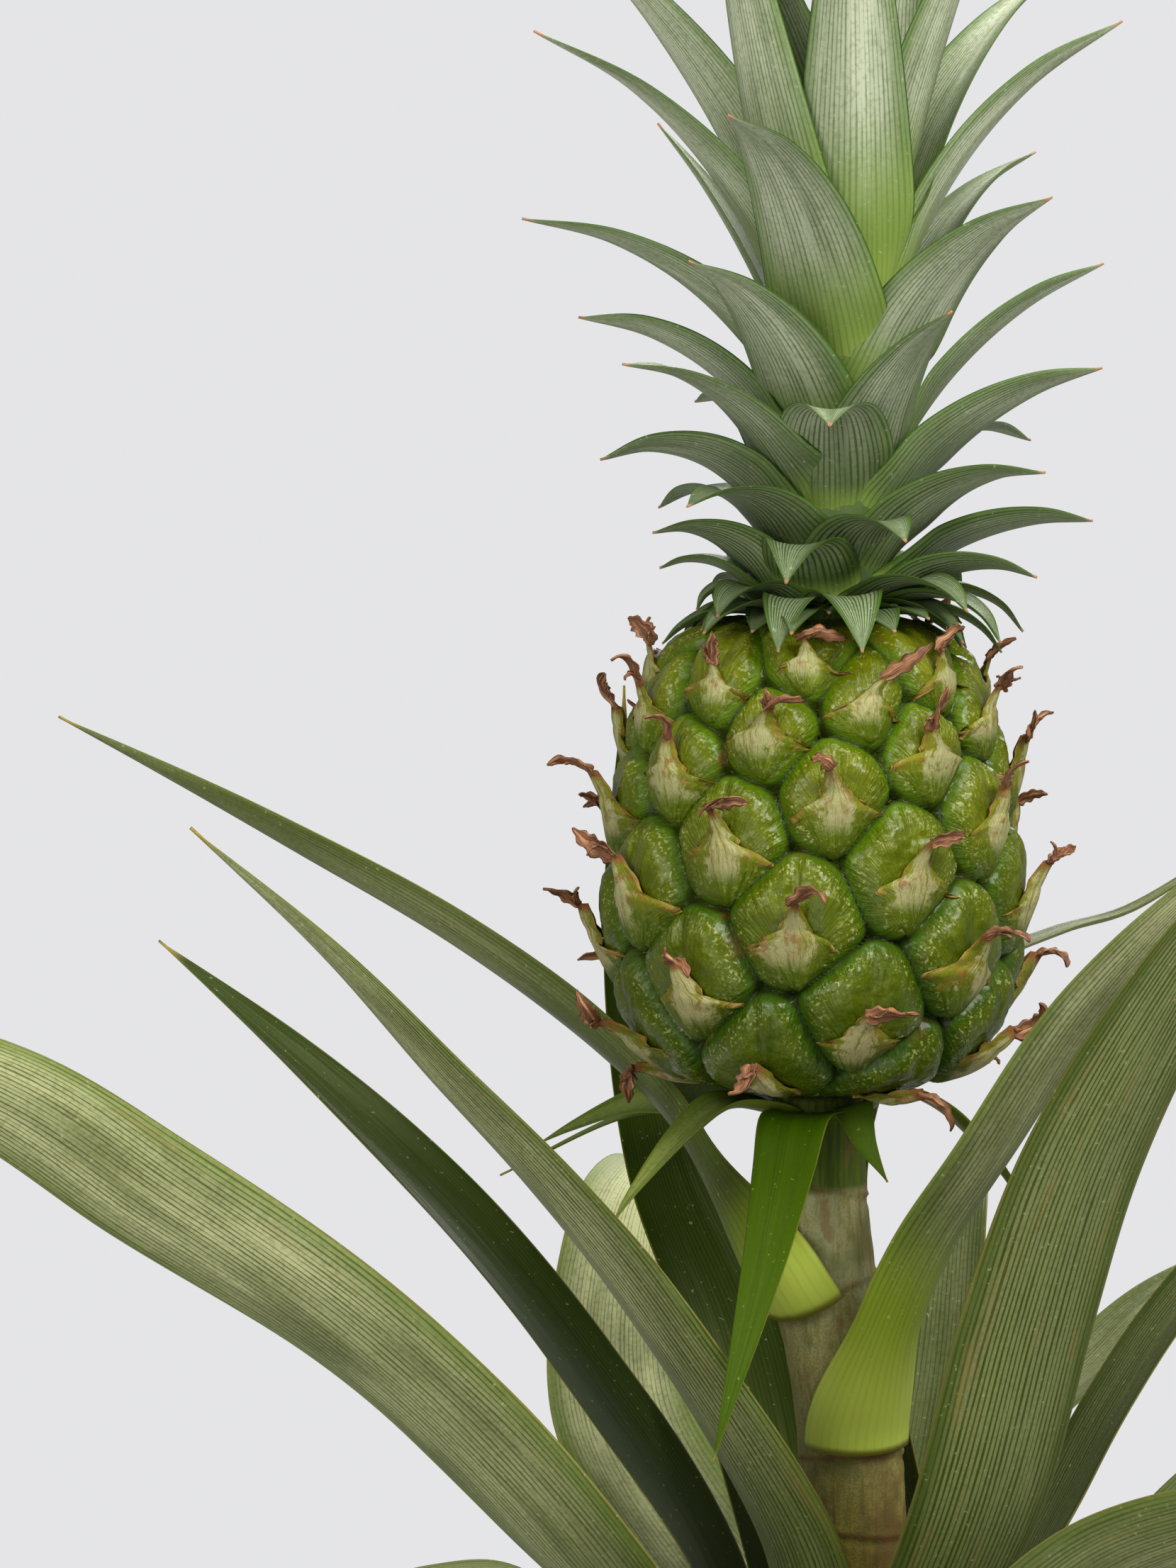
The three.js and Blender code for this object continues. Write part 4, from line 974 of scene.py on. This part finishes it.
def rosette():
    look = blade_look(
        "leaf_blade", upper="253404", lower="3e4c10", deep="2e3a0e", pale="acae7e", lush="607a24",
        foot="aebc4a", young="7a8e22", margin="807036", tip="96843c", lines=95.0)

    def leaf_piece(name, node, leaf, **readings):
        heap = Heap()
        blade(heap, leaf, 1, 15, 1.5, **readings)
        heap.made(name, look, "leaf", node)

    for i, (name, looks, form, roll, path) in enumerate(SHAPED_LEAVES):
        leaf = stem_leaf(*form, roll=roll, path=path, **CLASPS.get(name, {}))
        leaf_piece(name + "_blade", name, leaf, tone=i * GOLDEN % 1, **dict(zip(LEAF_LOOKS, looks)))
    for i, row in enumerate(LOWER_LEAVES):
        leaf = stem_leaf(**dict(zip(LOWER_FORM, row)), wave=0.5)
        leaf_piece(f"lower_blade_{i + 1:02d}", f"leaf_lower_{i + 1:02d}", leaf, tone=(i * GOLDEN + 0.4) % 1,
                   bloom=0.45, stripes=0.5, rust=0.5, foot=0.12)


# Crown

def crown_x(height):
    return -7.5 + 6 * smooth(CROWN_BOTTOM, 450, height)


def crown_leaf(k):
    late = max(0, k - 29)
    early = max(0, k - late)
    even = (CROWN_START + CROWN_TURN * k, min(44, max(5, 34 - 0.8 * k)), 148 - 1.9 * k - 2.6 * late,
            26 + 1.3 * k + 0.02 * k * k, CROWN_BOTTOM + 3 + 0.45 * early + 0.022 * early**2 + 2 * late, 0)
    azimuth, lean, droop, length, height, roll = CROWN_STRAYS.get(k, even)
    width = min(26, 19 + 0.42 * k)
    radius = 10.5 - 0.18 * max(0, k)
    return dict(azimuth=azimuth, lean=lean, droop=droop, length=length, height=height, roll=(roll, roll),
                axis_x=crown_x(height), radius=radius, sheath=5, swing=0, width=width, hug=75,
                foot_width=min(width, 2 * radius * math.radians(75)), taper=2.1, neck=1, cup=30, tip_cup=40)


def skirt_leaf(i):
    """One of the smallest leaves, which hang over the top of the fruit."""
    leaf = crown_leaf(CROWN_LEAVES[1])
    leaf.update(azimuth=-90 - i * CROWN_TURN, lean=64 + 9 * (i % 3), droop=112 + 12 * (i % 4),
                length=17.5 + 2.6 * (i % 5), height=405.2 + 0.5 * (i % 3), width=13.5 + 1.2 * (i % 3),
                radius=9.2, foot_width=10, sheath=4)
    return leaf


def crown_core(heap):
    """The shoot that the crown's leaves grow from."""
    z = np.array([402.5, 402.5, 406, 425, 445, 466, 476])[:, None]
    radius = np.array([0.05, 10.4, 11.9, 10, 7, 4, 0.05])[:, None]
    angle = around(24)
    points = np.stack([crown_x(z) + radius * np.cos(angle), radius * np.sin(angle), z + 0 * angle], -1)
    heap.add(points, grid_faces(len(z), len(angle), ring=True), u=0.6, v=0, front=1, tone=0, bloom=0.05,
             stripes=0.2, rust=0, foot=0.3)


def crown():
    look = blade_look(
        "crown_blade", upper="3a5214", lower="4e6226", deep="324a18", pale="bbc1a4", lush="5c7c34",
        foot="bece68", young="849c46", margin="305408", tip="b08060", lines=88.0, rim=0.9)
    heap = Heap()
    for k in CROWN_LEAVES:
        blade(heap, crown_leaf(k), 2, 11, 1.15, tone=k * GOLDEN % 1, bloom=0.12 + 0.8 * smooth(-3, 30, k),
              stripes=0.8 - 0.5 * smooth(5, 35, k), rust=0, foot=0.2 + 0.3 * smooth(14, 30, k))
    for i in range(SKIRT_LEAVES):
        blade(heap, skirt_leaf(i), 4, 9, 1.0, tone=i * 0.317 % 1, bloom=0.08, stripes=0.6, rust=0, foot=0.3)
    crown_core(heap)
    heap.made("crown_blades", look, "crown", "crown")


# Floor, light and camera

def floor():
    """A pale floor that fades into the backdrop."""
    look = Look("floor", Specular_IOR_Level=0.2)
    far = look.node("VectorMath", {0: look.place}, operation="LENGTH").outputs["Value"]
    grain = look.noise(300.0)
    colour = look.mix(look.times(grain, 0.15), (0.49, 0.49, 0.5, 1), (0.46, 0.46, 0.47, 1))
    look.finish(colour, 0.7, (grain, 0.0002, 0.1))
    glow = look.node("Emission", {"Color": BACKGROUND, "Strength": 1.0})
    share = look.step(far, 0.35, 0.82)
    fade = look.node("MixShader", {0: share, 1: look.shader.outputs[0], 2: glow.outputs[0]})
    look.put(look.tree.nodes["Material Output"].inputs["Surface"], fade.outputs[0])
    angle = around(96)
    radius = np.array([0.5, 60, 120, 250, 450, 650, 850])[:, None]
    points = np.stack([radius * np.cos(angle), radius * np.sin(angle), 0 * radius * angle - 0.05], -1)
    faces = grid_faces(len(radius), len(angle), ring=True)
    mesh = bpy.data.meshes.new("floor")
    mesh.from_pydata((points.reshape(-1, 3) * MM).tolist(), [], faces)
    mesh.materials.append(look.material)
    placed("floor", mesh)


def light(name, place, size, power):
    lamp = bpy.data.lights.new(name, "AREA")
    lamp.shape = "DISK"
    lamp.size = size
    lamp.energy = power
    made = placed(name, lamp)
    made.location = place
    made.rotation_euler = (Vector(LAMP_TARGET) - Vector(place)).to_track_quat("-Z", "Y").to_euler()
    made.visible_camera = False


def studio():
    """Lamps, soft light from all sides and an even backdrop that only the camera sees."""
    world = bpy.data.worlds.new("studio")
    world.use_nodes = True
    tree = world.node_tree
    sky = tree.nodes["Background"]
    sky.inputs["Color"].default_value = BACKGROUND
    soft = tree.nodes.new("ShaderNodeBackground")
    soft.inputs["Color"].default_value = SOFT_LIGHT
    either = tree.nodes.new("ShaderNodeMixShader")
    link = tree.links.new
    link(tree.nodes.new("ShaderNodeLightPath").outputs["Is Camera Ray"], either.inputs[0])
    link(soft.outputs[0], either.inputs[1])
    link(sky.outputs[0], either.inputs[2])
    link(either.outputs[0], tree.nodes["World Output"].inputs[0])
    bpy.context.scene.world = world
    bpy.context.scene.view_settings.view_transform = "Standard"
    for lamp in LAMPS:
        light(*lamp)


def camera():
    lens = bpy.data.cameras.new("camera")
    lens.sensor_width = SENSOR
    lens.lens = SENSOR * FOCAL_LENGTH / FRAME_HEIGHT
    lens.clip_end = 20
    made = placed("camera", lens)
    tilt = math.radians(CAMERA_TILT)
    made.location = Vector(CAMERA_TARGET) - CAMERA_DISTANCE * Vector((0, math.cos(tilt), -math.sin(tilt)))
    made.rotation_euler = (math.pi / 2 - tilt, 0, 0)
    bpy.context.scene.camera = made


pot()
soil_bed(pot_inside(SOIL_LEVEL) - 0.5)
soil_bits(pot_inside(SOIL_LEVEL) - 0.5)
stem()
collar()
rosette()
fruit()
crown()
floor()
studio()
camera()
